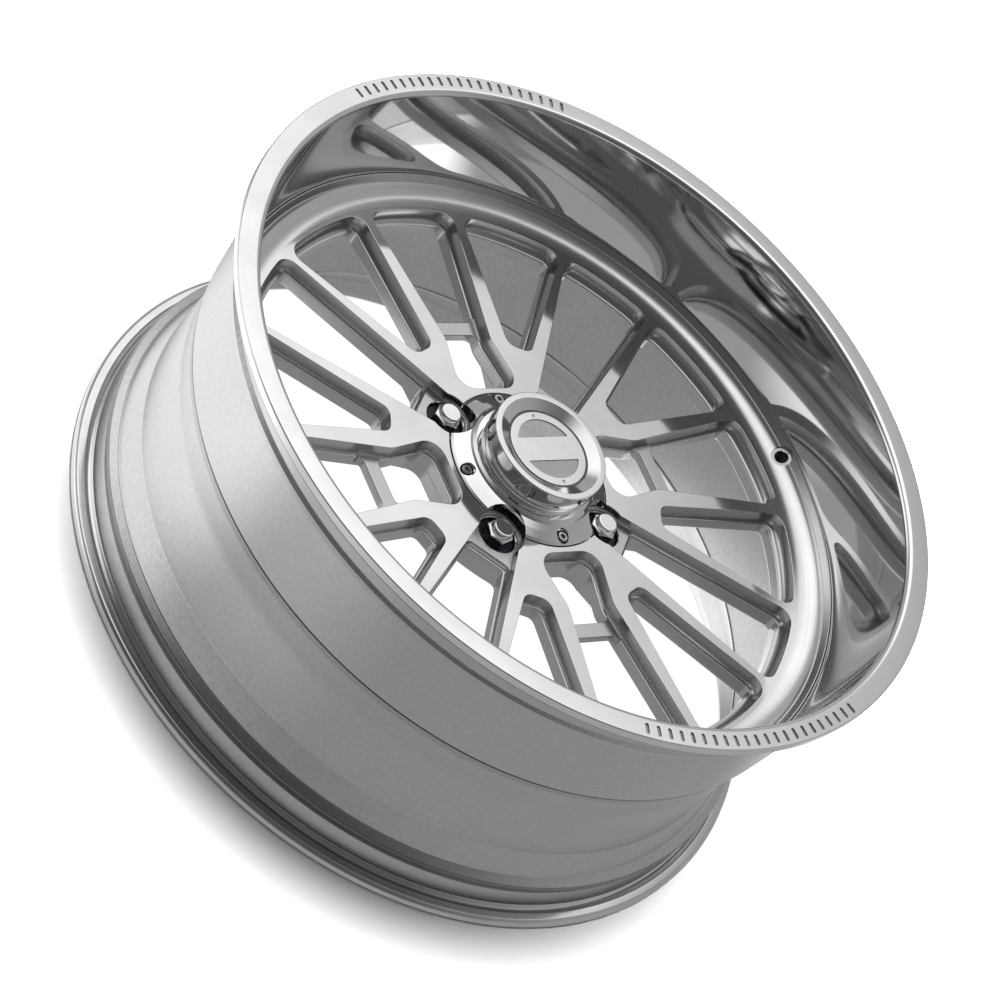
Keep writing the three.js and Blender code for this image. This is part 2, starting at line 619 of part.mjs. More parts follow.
// A closed nut: cone, hexagon, and a round cap above it, with a blind stud hole.
function makeLugNut() {
  const top = FACE_Z + NUT_TOP;
  const low = SEAT_TOP_Z - NUT_CONE_HEIGHT;
  const capZ = top - NUT_CAP_HEIGHT;
  const corner = NUT_ACROSS_FLATS / Math.sqrt(3);
  const body = turned([
    [0, low],
    [NUT_CONE_BOTTOM, low],
    [NUT_CONE_TOP, SEAT_TOP_Z],
    [corner, SEAT_TOP_Z + 1],
    [corner, capZ - 1.6],
    [NUT_CAP_RADIUS + 0.6, capZ],
    [NUT_CAP_RADIUS, capZ + 0.4],
    [NUT_CAP_RADIUS, top - 1],
    [NUT_CAP_RADIUS - 1, top],
    [0, top],
  ], ROUND_SEGMENTS + 4);
  const hexagon = new THREE.CylinderGeometry(corner, corner, top - low + 2, 6);
  hexagon.rotateX(Math.PI / 2).translate(0, 0, (top + low) / 2);
  const hole = post(0, 0, STUD_RADIUS, low - 1, capZ, 12);
  return body.intersect(toSolid(hexagon)).subtract(hole);
}

// ---- assembly ----
function finish(color, roughness, metalness) {
  return new THREE.MeshStandardMaterial({ color, roughness, metalness });
}

const finishes = {
  blasted: finish(0xb4b5b7, 0.45, 1),
  machined: finish(0xd6d7d9, 0.18, 1),
  chrome: finish(0xe6e7e9, 0.05, 1),
  steel: finish(0x55565a, 0.35, 1),
  seal: finish(0x111112, 0.7, 0),
};

const group = new THREE.Group();

function add(name, solid, material, turn = 0, radius = 0) {
  const mesh = new THREE.Mesh(toGeometry(solid), material);
  mesh.name = name;
  mesh.rotation.z = turn;
  mesh.position.set(radius * Math.cos(turn), radius * Math.sin(turn), 0);
  group.add(mesh);
}

const padLow = HEAD_FLOOR_Z + GAP;
add('barrel', makeBarrel(), finishes.blasted);
add('centre_disc', makeCentreDisc(), finishes.machined);
add('rear_weld_ring', makeWeld(), finishes.blasted);
add('cap_gasket', makeCapGasket(), finishes.seal);
add('cap_base', makeCapBase(), finishes.chrome);
add('cap_head', makeCapHead(), finishes.chrome);
add('medallion_pad', plate(MEDALLION_RADIUS - 2, padLow, padLow + PAD_THICKNESS), finishes.seal);
add('medallion_ring', makeMedallionRing(), finishes.seal);
add('medallion', plate(MEDALLION_RADIUS, MEDALLION_Z, MEDALLION_TOP_Z), finishes.chrome);
for (let i = 0; i < SCREW_COUNT; i += 1) {
  add(`cap_screw_${i + 1}`, makeCapScrew(), finishes.steel, i * QUARTER, CAP_SCREW_CIRCLE);
}
for (let i = 0; i < LUG_COUNT; i += 1) {
  const angle = LUG_ANGLE + (i * 2 * Math.PI) / LUG_COUNT;
  add(`lug_seat_${i + 1}`, makeLugSeat(), finishes.steel, angle, LUG_CIRCLE_RADIUS);
  add(`lug_nut_${i + 1}`, makeLugNut(), finishes.chrome, angle, LUG_CIRCLE_RADIUS);
}

export default group;
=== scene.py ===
"""Looks of a forged racing wheel rim: barrel, centre disc, hub cap, lug nuts and seats.

Sizes are in millimetres and are turned into metres when a mesh is made.
The wheel stands on its rear flange at z = 0, with its axis along +Z.
"""

import logging
import math
from dataclasses import dataclass
from enum import Enum

import bmesh
import bpy
import numpy as np
from mathutils import Matrix, Vector


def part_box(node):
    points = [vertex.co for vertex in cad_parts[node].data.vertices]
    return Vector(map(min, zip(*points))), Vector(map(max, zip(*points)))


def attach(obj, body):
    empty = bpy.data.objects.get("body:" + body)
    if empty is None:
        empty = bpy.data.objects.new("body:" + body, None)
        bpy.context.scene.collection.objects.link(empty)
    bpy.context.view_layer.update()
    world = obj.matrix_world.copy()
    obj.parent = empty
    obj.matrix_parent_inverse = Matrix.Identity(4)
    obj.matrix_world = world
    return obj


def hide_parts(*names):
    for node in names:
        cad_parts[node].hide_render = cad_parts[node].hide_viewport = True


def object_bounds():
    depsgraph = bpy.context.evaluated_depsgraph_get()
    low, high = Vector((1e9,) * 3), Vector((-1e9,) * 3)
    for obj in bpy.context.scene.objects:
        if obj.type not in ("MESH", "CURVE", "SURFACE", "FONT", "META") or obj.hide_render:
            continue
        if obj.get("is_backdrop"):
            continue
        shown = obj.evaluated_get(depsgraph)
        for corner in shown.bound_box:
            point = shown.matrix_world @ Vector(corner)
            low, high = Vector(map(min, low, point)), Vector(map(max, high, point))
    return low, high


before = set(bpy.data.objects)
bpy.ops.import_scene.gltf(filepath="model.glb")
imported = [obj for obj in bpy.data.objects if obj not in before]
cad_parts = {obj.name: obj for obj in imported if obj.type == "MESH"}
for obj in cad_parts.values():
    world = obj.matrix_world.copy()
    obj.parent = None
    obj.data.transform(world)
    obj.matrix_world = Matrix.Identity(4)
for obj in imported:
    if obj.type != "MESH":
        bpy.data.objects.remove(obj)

LOG = logging.getLogger("wheel")
MM = 0.001
LUG_COUNT = 4
RIM_SEGMENTS = 384
CAP_SEGMENTS = 192
ROUND_SEGMENTS = 64
SIDE_SHARE = 0.98
JOIN_DISTANCE = 1e-7
SHARP_ANGLE = 28.0
FLAT_FACE_WEIGHT = 90
HALF_STEP = 0.5


class Body(Enum):
    """The bodies of the frame that pieces ride on."""

    WHEEL = "wheel"
    NUT = "nut_{}"


class Slot(Enum):
    """The record's material slots."""

    BARREL = "barrel_aluminium"
    DISC = "disc_aluminium"
    CHROME = "chrome"
    MEDALLION = "medallion_plate"
    SEAT = "seat_steel"
    SCREW = "screw_steel"
    RUBBER = "rubber"


# ---- sizes ----
def node_box(node: str) -> tuple[np.ndarray, np.ndarray]:
    """The low and the high corner of a node's box, in millimetres."""
    low, high = (np.array(corner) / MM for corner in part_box(node))
    return low, high


def places(circle: float, first: float) -> np.ndarray:
    """The middles of the four copies on a circle, the first at an angle in quarter turns."""
    turns = (np.arange(LUG_COUNT) + first) * 2 * math.pi / LUG_COUNT
    return circle * np.stack([np.cos(turns), np.sin(turns)], -1)


@dataclass(frozen=True)
class Layout:
    """The places that the pieces share, in millimetres."""

    flange_radius: float
    width: float
    disc_radius: float
    disc_edge_z: float
    mount_z: float
    head_top_z: float
    head_radius: float
    nut_top_z: float
    nut_low_z: float
    lug_circle: float
    screw_circle: float
    screw_top_z: float

    disc_edge_rise: float = 13.9
    cove_run: float = 25.5

    @property
    def face_z(self) -> float:
        """Height of the flat spoke face."""
        return self.disc_edge_z - self.disc_edge_rise

    @classmethod
    def from_frame(cls) -> "Layout":
        """Reads the places from the boxes of the frame's nodes.

        Returns:
            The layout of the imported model.
        """
        low, high = (np.array(corner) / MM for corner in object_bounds())
        disc_low, disc_high = node_box("centre_disc")
        head_high = node_box("cap_head")[1]
        nut_low, nut_high = node_box("lug_nut_1")
        screw_low, screw_high = node_box("cap_screw_1")
        nut_middle = (nut_low + nut_high) / 2
        return cls(
            flange_radius=float(high[0]),
            width=float(high[2] - low[2]),
            disc_radius=float(disc_high[0]),
            disc_edge_z=float(disc_high[2]),
            mount_z=float(disc_low[2]),
            head_top_z=float(head_high[2]),
            head_radius=float(head_high[0]),
            nut_top_z=float(nut_high[2]),
            nut_low_z=float(nut_low[2]),
            lug_circle=float(np.hypot(nut_middle[0], nut_middle[1])),
            screw_circle=float((screw_low[0] + screw_high[0]) / 2),
            screw_top_z=float(screw_high[2]),
        )


# ---- outlines ----
def rounded(corners: np.ndarray, radii: np.ndarray, steps: int) -> tuple[np.ndarray, np.ndarray]:
    """Rounds the corners of a closed outline with arcs.

    An arc of radius r at a corner whose sides turn by 2h leaves its sides at r tan(h) from the
    corner, and its centre lies at r / cos(h) along the bisector. Two arcs that need more than
    their common side has are made smaller in the same ratio.

    Args:
        corners: The corners in order, (n, 2).
        radii: The radius at each corner, (n,), and 0 for a sharp corner.
        steps: The steps of each arc.

    Returns:
        The points in order, and for each point the number of the side that follows it.
    """
    back = np.roll(corners, 1, 0) - corners
    ahead = np.roll(corners, -1, 0) - corners
    back_length = np.linalg.norm(back, axis=1)
    ahead_length = np.linalg.norm(ahead, axis=1)
    back = back / back_length[:, None]
    ahead = ahead / ahead_length[:, None]
    half = (math.pi - np.arccos(np.clip((back * ahead).sum(1), -1, 1))) / 2
    half = np.maximum(half, 1e-6)
    wanted = np.maximum(radii * np.tan(half), 1e-9)
    room = np.minimum(1, SIDE_SHARE * ahead_length / (wanted + np.roll(wanted, -1)))
    reach = wanted * np.minimum(room, np.roll(room, 1))
    radius = reach / np.tan(half)
    middle = back + ahead
    middle = middle / np.maximum(np.linalg.norm(middle, axis=1), 1e-12)[:, None]
    centre = corners + middle * (radius / np.cos(half))[:, None]
    first = corners + back * reach[:, None] - centre
    sign = np.sign(ahead[:, 0] * back[:, 1] - ahead[:, 1] * back[:, 0])
    angle = (sign * 2 * half)[:, None] * np.linspace(0, 1, steps + 1)[None, :]
    cos, sin = np.cos(angle), np.sin(angle)
    x = centre[:, 0, None] + first[:, 0, None] * cos - first[:, 1, None] * sin
    y = centre[:, 1, None] + first[:, 0, None] * sin + first[:, 1, None] * cos
    points = np.stack([x, y], -1)
    number = np.arange(len(corners))
    side = np.where(np.arange(steps + 1)[None, :] * 2 < steps, number[:, None] - 1, number[:, None])
    keep = np.ones((len(corners), steps + 1), bool)
    keep[:, 1:] = (radii > 0)[:, None]
    side[:, 0] = np.where(radii > 0, side[:, 0], number)
    return points[keep], side[keep] % len(corners)


def inset(corners: np.ndarray, distances: np.ndarray) -> np.ndarray:
    """Moves each side of an anticlockwise outline inwards and finds the new corners.

    Args:
        corners: The corners in order, (n, 2).
        distances: How far the side after each corner moves inwards, (n,).

    Returns:
        The corners of the moved outline.
    """
    along = np.roll(corners, -1, 0) - corners
    along = along / np.linalg.norm(along, axis=1)[:, None]
    start = corners + np.stack([-along[:, 1], along[:, 0]], -1) * distances[:, None]
    before, before_along = np.roll(start, 1, 0), np.roll(along, 1, 0)
    across = start - before
    turn = before_along[:, 0] * along[:, 1] - before_along[:, 1] * along[:, 0]
    share = (across[:, 0] * along[:, 1] - across[:, 1] * along[:, 0]) / turn
    return before + before_along * share[:, None]


def bend(start: tuple, corner: tuple, end: tuple, steps: int) -> np.ndarray:
    """A quadratic curve from start to end that leaves and arrives towards the corner."""
    t = np.linspace(0, 1, steps + 1)[:, None]
    a, b, c = (np.array(p, float) for p in (start, corner, end))
    return a * (1 - t) ** 2 + 2 * b * t * (1 - t) + c * t ** 2


# ---- meshes ----
def new_object(
    name: str, points: np.ndarray, faces: list, finishes: list, zones: np.ndarray
) -> bpy.types.Object:
    """Makes an object from points in millimetres.

    Args:
        name: The object's name.
        points: The vertices, (n, 3), in millimetres.
        faces: The vertex numbers of each face.
        finishes: The materials, in the order of their numbers.
        zones: The material number of each face.

    Returns:
        The object, linked to the scene.
    """
    mesh = bpy.data.meshes.new(name)
    mesh.from_pydata((points * MM).tolist(), [], faces)
    for finish in finishes:
        mesh.materials.append(finish)
    mesh.polygons.foreach_set("material_index", np.asarray(zones, np.int32))
    mesh.polygons.foreach_set("use_smooth", np.ones(len(faces), bool))
    mesh.update()
    made = bpy.data.objects.new(name, mesh)
    bpy.context.scene.collection.objects.link(made)
    return made


def grid_faces(rows: int, columns: int, closed: bool) -> np.ndarray:
    """Faces of a grid whose columns run round: (row, column), column + 1, row + 1.

    Args:
        rows: The number of rows of points.
        columns: The number of points in each row, which closes on itself.
        closed: Whether the last row joins the first.

    Returns:
        The vertex numbers of the faces, (m, 4).
    """
    last = rows if closed else rows - 1
    i, j = np.meshgrid(np.arange(last), np.arange(columns), indexing="ij")
    i, j = i.ravel(), j.ravel()
    up, on = (i + 1) % rows, (j + 1) % columns
    return np.stack([i * columns + j, i * columns + on, up * columns + on, up * columns + j], -1)


def merged(piece: bpy.types.Object) -> bpy.types.Object:
    """Joins points that lie together, such as those at a pole, and points the faces outwards."""
    shape = bmesh.new()
    shape.from_mesh(piece.data)
    bmesh.ops.remove_doubles(shape, verts=shape.verts, dist=JOIN_DISTANCE)
    bmesh.ops.dissolve_degenerate(shape, edges=shape.edges, dist=JOIN_DISTANCE)
    bmesh.ops.recalc_face_normals(shape, faces=shape.faces)
    shape.to_mesh(piece.data)
    shape.free()
    return piece


@dataclass(frozen=True)
class Profile:
    """A closed profile of corners, each [radius, z, fillet, zone of the side that follows]."""

    corners: list
    steps: int = 5

    def points(self) -> tuple[np.ndarray, np.ndarray]:
        """The rounded profile's points and the zone of each side."""
        table = np.array(self.corners, float)
        points, side = rounded(table[:, :2], table[:, 2], self.steps)
        return points, table[side, 3].astype(int)


def turned(
    name: str, profile: Profile, finishes: list, segments: int, centre: tuple = (0.0, 0.0)
) -> bpy.types.Object:
    """Turns a closed profile about a vertical axis: (r cos a, r sin a, z).

    Args:
        name: The object's name.
        profile: The profile, anticlockwise in the half plane.
        finishes: The materials that the zones name.
        segments: The steps of the full turn.
        centre: Where the axis stands, in millimetres.

    Returns:
        The turned object.
    """
    points, zones = profile.points()
    angle = np.linspace(0, 2 * math.pi, segments, endpoint=False)
    radius, z = points[:, 0, None], np.repeat(points[:, 1, None], segments, 1)
    grid = np.stack([centre[0] + radius * np.cos(angle), centre[1] + radius * np.sin(angle), z], -1)
    faces = grid_faces(len(points), segments, True)
    made = new_object(name, grid.reshape(-1, 3), faces.tolist(), finishes, np.repeat(zones, segments))
    return merged(made) if points[:, 0].min() < 1e-6 else made


def turned_copies(
    name: str, profile: Profile, finishes: list, segments: int, middles: np.ndarray
) -> list:
    """One turned object at each of the given places."""
    return [turned(name, profile, finishes, segments, tuple(middle)) for middle in middles]


def lofted(
    name: str, outlines: list, heights: list, finishes: list, zones: list, turns: np.ndarray
) -> bpy.types.Object:
    """Copies of a solid through outlines of one number of points, turned about the wheel's axis.

    Args:
        name: The object's name.
        outlines: The outlines from low to high, each (n, 2) and anticlockwise.
        heights: The height of each outline.
        finishes: The materials that the zones name.
        zones: The zone of each band between two outlines.
        turns: The angle of each copy.

    Returns:
        One object that holds all the copies.
    """
    rows, columns = len(outlines), len(outlines[0])
    flat = np.concatenate(outlines)
    z = np.repeat(np.array(heights, float), columns)
    band = grid_faces(rows, columns, False)
    points, faces, numbers = [], [], []
    for copy, turn in enumerate(turns):
        x = flat[:, 0] * math.cos(turn) - flat[:, 1] * math.sin(turn)
        y = flat[:, 0] * math.sin(turn) + flat[:, 1] * math.cos(turn)
        first = copy * rows * columns
        points.append(np.stack([x, y, z], -1))
        faces += (band + first).tolist()
        faces.append(list(range(first + columns - 1, first - 1, -1)))
        faces.append(list(range(first + (rows - 1) * columns, first + rows * columns)))
        numbers.append(np.concatenate([np.repeat(zones, columns), [zones[0], zones[-1]]]))
    return new_object(name, np.concatenate(points), faces, finishes, np.concatenate(numbers))


def carve(piece: bpy.types.Object, tools: list, operation: str = "DIFFERENCE") -> bpy.types.Object:
    """Cuts or joins tools into a piece one after another, and removes the tools.

    Args:
        piece: The piece to work on.
        tools: The objects to cut away or to join.
        operation: DIFFERENCE or UNION.

    Returns:
        The piece, with the result as its mesh.
    """
    for tool in tools:
        cut = piece.modifiers.new(tool.name, "BOOLEAN")
        cut.object = tool
        cut.operation = operation
        cut.solver = "MANIFOLD"
        settle(piece)
        bpy.data.objects.remove(tool)
    return piece


def settle(piece: bpy.types.Object) -> None:
    """Replaces a piece's mesh with what its modifiers make."""
    graph = bpy.context.evaluated_depsgraph_get()
    mesh = bpy.data.meshes.new_from_object(piece.evaluated_get(graph), depsgraph=graph)
    piece.modifiers.clear()
    old, piece.data = piece.data, mesh
    mesh.name = piece.name
    bpy.data.meshes.remove(old)


def shaded(piece: bpy.types.Object, angle: float = SHARP_ANGLE) -> bpy.types.Object:
    """Smooth shading that stays sharp at edges above an angle and flat on flat faces."""
    piece.data.polygons.foreach_set("use_smooth", np.ones(len(piece.data.polygons), bool))
    piece.data.set_sharp_from_angle(angle=math.radians(angle))
    weigh = piece.modifiers.new("flat_faces_lead", "WEIGHTED_NORMAL")
    weigh.mode = "FACE_AREA"
    weigh.weight = FLAT_FACE_WEIGHT
    weigh.keep_sharp = True
    return piece


def fit(piece: bpy.types.Object, body: str, slot: Slot, *nodes: str) -> None:
    """Hands a finished piece to the frame.

    Args:
        piece: The piece.
        body: The body that it rides on.
        slot: The record's material slot; not used.
        nodes: The nodes that it stands for.
    """
    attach(piece, body)
    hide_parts(*nodes)
    LOG.info("%s: %d faces for %s", piece.name, len(piece.data.polygons), ", ".join(nodes))


# ---- shader groups ----
class Nodes:
    """A short way to add and join nodes in one tree."""

    def __init__(self, tree: bpy.types.NodeTree) -> None:
        """Takes the tree to build in."""
        self.tree = tree

    def add(self, kind: str, **settings: object) -> bpy.types.Node:
        """Adds a node and sets its properties and, by name or number in `inputs`, its sockets.

        Args:
            kind: The node's type.
            settings: Properties of the node, and `inputs` with values or sockets to join.

        Returns:
            The node.
        """
        node = self.tree.nodes.new(kind)
        values = settings.pop("inputs", {})
        for key, value in settings.items():
            setattr(node, key, value)
        for key, value in values.items():
            if isinstance(value, bpy.types.NodeSocket):
                self.tree.links.new(value, node.inputs[key])
            else:
                node.inputs[key].default_value = value
        return node

    def math(self, operation: str, *values: object) -> bpy.types.NodeSocket:
        """A Math node's result; the values are numbers or sockets."""
        return self.add("ShaderNodeMath", operation=operation, inputs=dict(enumerate(values))).outputs[0]

    def vector(self, operation: str, *values: object) -> bpy.types.Node:
        """A Vector Math node; the values are vectors or sockets."""
        return self.add("ShaderNodeVectorMath", operation=operation, inputs=dict(enumerate(values)))

    def noise(self, vector: object, scale: object, detail: float, roughness: float) -> bpy.types.NodeSocket:
        """A Noise Texture's value."""
        node = self.add("ShaderNodeTexNoise", inputs={
            "Vector": vector, "Scale": scale, "Detail": detail, "Roughness": roughness})
        return node.outputs["Fac"]


def new_group(name: str, inputs: dict, outputs: list) -> tuple[Nodes, bpy.types.Node, bpy.types.Node]:
    """Starts a shader group.

    Args:
        name: The group's name.
        inputs: The inputs' names with their values; a vector where the value is None.
        outputs: The names of the outputs, each a number.

    Returns:
        The group's nodes, its input node and its output node.
    """
    tree = bpy.data.node_groups.new(name, "ShaderNodeTree")
    for key, value in inputs.items():
        kind = "NodeSocketVector" if value is None else "NodeSocketFloat"
        socket = tree.interface.new_socket(key, in_out="INPUT", socket_type=kind)
        if value is not None:
            socket.default_value = value
    for key in outputs:
        tree.interface.new_socket(key, in_out="OUTPUT", socket_type="NodeSocketFloat")
    nodes = Nodes(tree)
    return nodes, nodes.add("NodeGroupInput"), nodes.add("NodeGroupOutput")


def make_grain_group() -> bpy.types.NodeTree:
    """Blasted grain: fine noise of a given size, with a coarser one that gathers it in patches."""
    nodes, given, out = new_group("blasted_grain", {"Vector": None, "Size": 1.0}, ["Mask", "Height"])
    scale = nodes.math("DIVIDE", 1.0 / MM, given.outputs["Size"])
    fine = nodes.noise(given.outputs["Vector"], scale, 3.0, 0.62)
    coarse = nodes.noise(given.outputs["Vector"], nodes.math("MULTIPLY", scale, 0.28), 2.0, 0.5)
    both = nodes.math("MULTIPLY_ADD", coarse, 0.3, nodes.math("MULTIPLY", fine, 0.7))
    mask = nodes.add("ShaderNodeMapRange", inputs={"Value": both, 1: 0.33, 2: 0.67})
    nodes.tree.links.new(mask.outputs[0], out.inputs["Mask"])
    nodes.tree.links.new(both, out.inputs["Height"])
    return nodes.tree


def make_turning_group() -> bpy.types.NodeTree:
    """Turned lines about the wheel's axis: noise over the radius and the height alone."""
    nodes, given, out = new_group("turned_lines", {"Vector": None, "Pitch": 0.6}, ["Mask", "Height"])
    parts = nodes.add("ShaderNodeSeparateXYZ", inputs={0: given.outputs["Vector"]})
    flat = nodes.add("ShaderNodeCombineXYZ", inputs={0: parts.outputs[0], 1: parts.outputs[1]})
    radius = nodes.vector("LENGTH", flat.outputs[0]).outputs["Value"]
    section = nodes.add("ShaderNodeCombineXYZ", inputs={0: radius, 1: parts.outputs[2]})
    scale = nodes.math("DIVIDE", 1.0 / MM, given.outputs["Pitch"])
    lines = nodes.noise(section.outputs[0], scale, 2.0, 0.6)
    mask = nodes.add("ShaderNodeMapRange", inputs={"Value": lines, 1: 0.3, 2: 0.7})
    nodes.tree.links.new(mask.outputs[0], out.inputs["Mask"])
    nodes.tree.links.new(lines, out.inputs["Height"])
    return nodes.tree


def make_cloud_group() -> bpy.types.NodeTree:
    """Slow changes over a surface, such as a polish that isn't quite even."""
    nodes, given, out = new_group("uneven_polish", {"Vector": None, "Size": 40.0}, ["Mask"])
    scale = nodes.math("DIVIDE", 1.0 / MM, given.outputs["Size"])
    slow = nodes.noise(given.outputs["Vector"], scale, 3.0, 0.55)
    mask = nodes.add("ShaderNodeMapRange", inputs={"Value": slow, 1: 0.35, 2: 0.65})
    nodes.tree.links.new(mask.outputs[0], out.inputs["Mask"])
    return nodes.tree


class Effects:
    """The shared shader groups, each built once."""

    def __init__(self) -> None:
        """Builds the groups."""
        self.grain = make_grain_group()
        self.turning = make_turning_group()
        self.cloud = make_cloud_group()


# ---- finishes ----
@dataclass(frozen=True)
class Finish:
    """A surface finish: its dark and light colour, roughness and texture.

    The texture's mask mixes the two colours and the two roughnesses, and its height gives relief.
    """

    name: str
    dark: tuple
    light: tuple
    roughness: tuple
    grain: float = 0.0
    turning: float = 0.0
    relief: float = 0.0
    relief_distance: float = 0.2
    cloud: float = 40.0
    cloud_share: float = 0.35
    metallic: float = 1.0

    def material(self, effects: Effects) -> bpy.types.Material:
        """Builds the material from the shared groups.

        Args:
            effects: The shared shader groups.

        Returns:
            The material.
        """
        made = bpy.data.materials.new(self.name)
        made.use_nodes = True
        made.node_tree.nodes.clear()
        nodes = Nodes(made.node_tree)
        place = nodes.add("ShaderNodeTexCoord").outputs["Object"]

        def effect(tree: bpy.types.NodeTree, size: str, value: float) -> bpy.types.Node:
            """A node of a shared group with its size set."""
            return nodes.add("ShaderNodeGroup", node_tree=tree, inputs={"Vector": place, size: value})

        cloud = effect(effects.cloud, "Size", self.cloud)
        mask, height = cloud.outputs["Mask"], None
        if self.grain or self.turning:
            fine = (effect(effects.grain, "Size", self.grain) if self.grain
                    else effect(effects.turning, "Pitch", self.turning))
            mask, height = self._blend(nodes, fine, cloud), fine.outputs["Height"]
        colour = nodes.add("ShaderNodeMix", data_type="RGBA", inputs={
            "Factor": mask, 6: (*self.dark, 1.0), 7: (*self.light, 1.0)})
        rough = nodes.add("ShaderNodeMapRange", inputs={
            "Value": mask, 3: self.roughness[0], 4: self.roughness[1]})
        shader = nodes.add("ShaderNodeBsdfPrincipled", inputs={
            "Base Color": colour.outputs[2], "Roughness": rough.outputs[0], "Metallic": self.metallic})
        if height is not None and self.relief:
            bump = nodes.add("ShaderNodeBump", inputs={
                "Strength": self.relief, "Distance": self.relief_distance * MM, "Height": height})
            nodes.tree.links.new(bump.outputs[0], shader.inputs["Normal"])
        out = nodes.add("ShaderNodeOutputMaterial")
        nodes.tree.links.new(shader.outputs[0], out.inputs[0])
        return made

    def _blend(self, nodes: Nodes, fine: bpy.types.Node, cloud: bpy.types.Node) -> bpy.types.NodeSocket:
        """Mixes the fine mask with the slow one by `cloud_share`."""
        mixed = nodes.add("ShaderNodeMix", inputs={
            0: self.cloud_share, 2: fine.outputs["Mask"], 3: cloud.outputs["Mask"]})
        return mixed.outputs[0]


def grey(value: float, blue: float = 0.012) -> tuple:
    """A neutral grey with a trace of blue."""
    return (value, value + blue * 0.4, value + blue)


FINISHES = {
    "blasted": Finish("blasted_aluminium", grey(0.58), grey(0.70), (0.24, 0.20), grain=1.1,
                      relief=0.75, relief_distance=0.25, cloud_share=0.08),
    "inside": Finish("blasted_inside", grey(0.52), grey(0.74), (0.40, 0.32), grain=0.9,
                     relief=0.35, relief_distance=0.12, cloud_share=0.08),
    "flange": Finish("turned_flange", grey(0.66), grey(0.82), (0.16, 0.11), turning=0.7,
                     relief=0.06, relief_distance=0.05, cloud_share=0.4),
    # Painted shade: a dark grey for the flange's grooves, the band behind the bead seat's hump and the crease
    # line.
    "groove_shade": Finish("turned_groove_painted_shade", grey(0.24), grey(0.40), (0.34, 0.26), grain=0.8,
                     relief=0.2, relief_distance=0.06, cloud_share=0.3),
    "mark": Finish("engraved_mark", grey(0.34), grey(0.46), (0.30, 0.24), cloud=20.0),
    "ring": Finish("turned_ring", grey(0.86), grey(0.93), (0.17, 0.13), turning=0.8,
                   relief=0.02, relief_distance=0.05, cloud_share=0.75),
    "lip": Finish("polished_lip", grey(0.74), grey(0.82), (0.035, 0.05), cloud=90.0),
    "face": Finish("milled_face", grey(0.70), grey(0.78), (0.10, 0.07), cloud=70.0),
    "wall": Finish("milled_wall", grey(0.56), grey(0.64), (0.27, 0.22), grain=1.1,
                   relief=0.02, relief_distance=0.05, cloud_share=0.5),
    "cove": Finish("turned_cove", grey(0.78), grey(0.90), (0.22, 0.17), turning=0.9,
                   relief=0.04, relief_distance=0.05, cloud_share=0.4),
    "back": Finish("turned_back", grey(0.50), grey(0.64), (0.36, 0.26), turning=1.2,
                   relief=0.1, relief_distance=0.08),
    "chrome": Finish("bright_chrome", grey(0.82), grey(0.90), (0.03, 0.06), cloud=25.0),
    "head": Finish("turned_chrome", grey(0.80), grey(0.90), (0.10, 0.06), turning=0.35,
                   relief=0.04, relief_distance=0.03, cloud=25.0),
    "plate": Finish("satin_plate", grey(0.78), grey(0.88), (0.16, 0.11), turning=0.4,
                    relief=0.03, relief_distance=0.03, cloud=20.0),
    "panel": Finish("blasted_panel", grey(0.34), grey(0.64), (0.42, 0.3), grain=0.45,
                    relief=0.4, relief_distance=0.06, cloud_share=0.15, cloud=14.0),
    # Near-black steel for the seat rings under the nuts.
    "seat": Finish("near_black_seat_steel", grey(0.02), grey(0.06), (0.5, 0.34), grain=0.8,
                   relief=0.2, relief_distance=0.05, cloud=12.0),
    "screw": Finish("stainless_steel", grey(0.42), grey(0.60), (0.26, 0.16), grain=0.6,
                    relief=0.05, relief_distance=0.03, cloud=6.0),
    "rubber": Finish("black_rubber", grey(0.010, 0.001), grey(0.022, 0.001), (0.62, 0.5), grain=0.5,
                     relief=0.15, relief_distance=0.04, metallic=0.0, cloud=10.0),
}


class Finishes:
    """The wheel's materials by name."""

    def __init__(self) -> None:
        """Builds every finish once."""
        effects = Effects()
        self.made = {key: finish.material(effects) for key, finish in FINISHES.items()}

    def __call__(self, *names: str) -> list:
        """The materials of those names, in order."""
        return [self.made[name] for name in names]


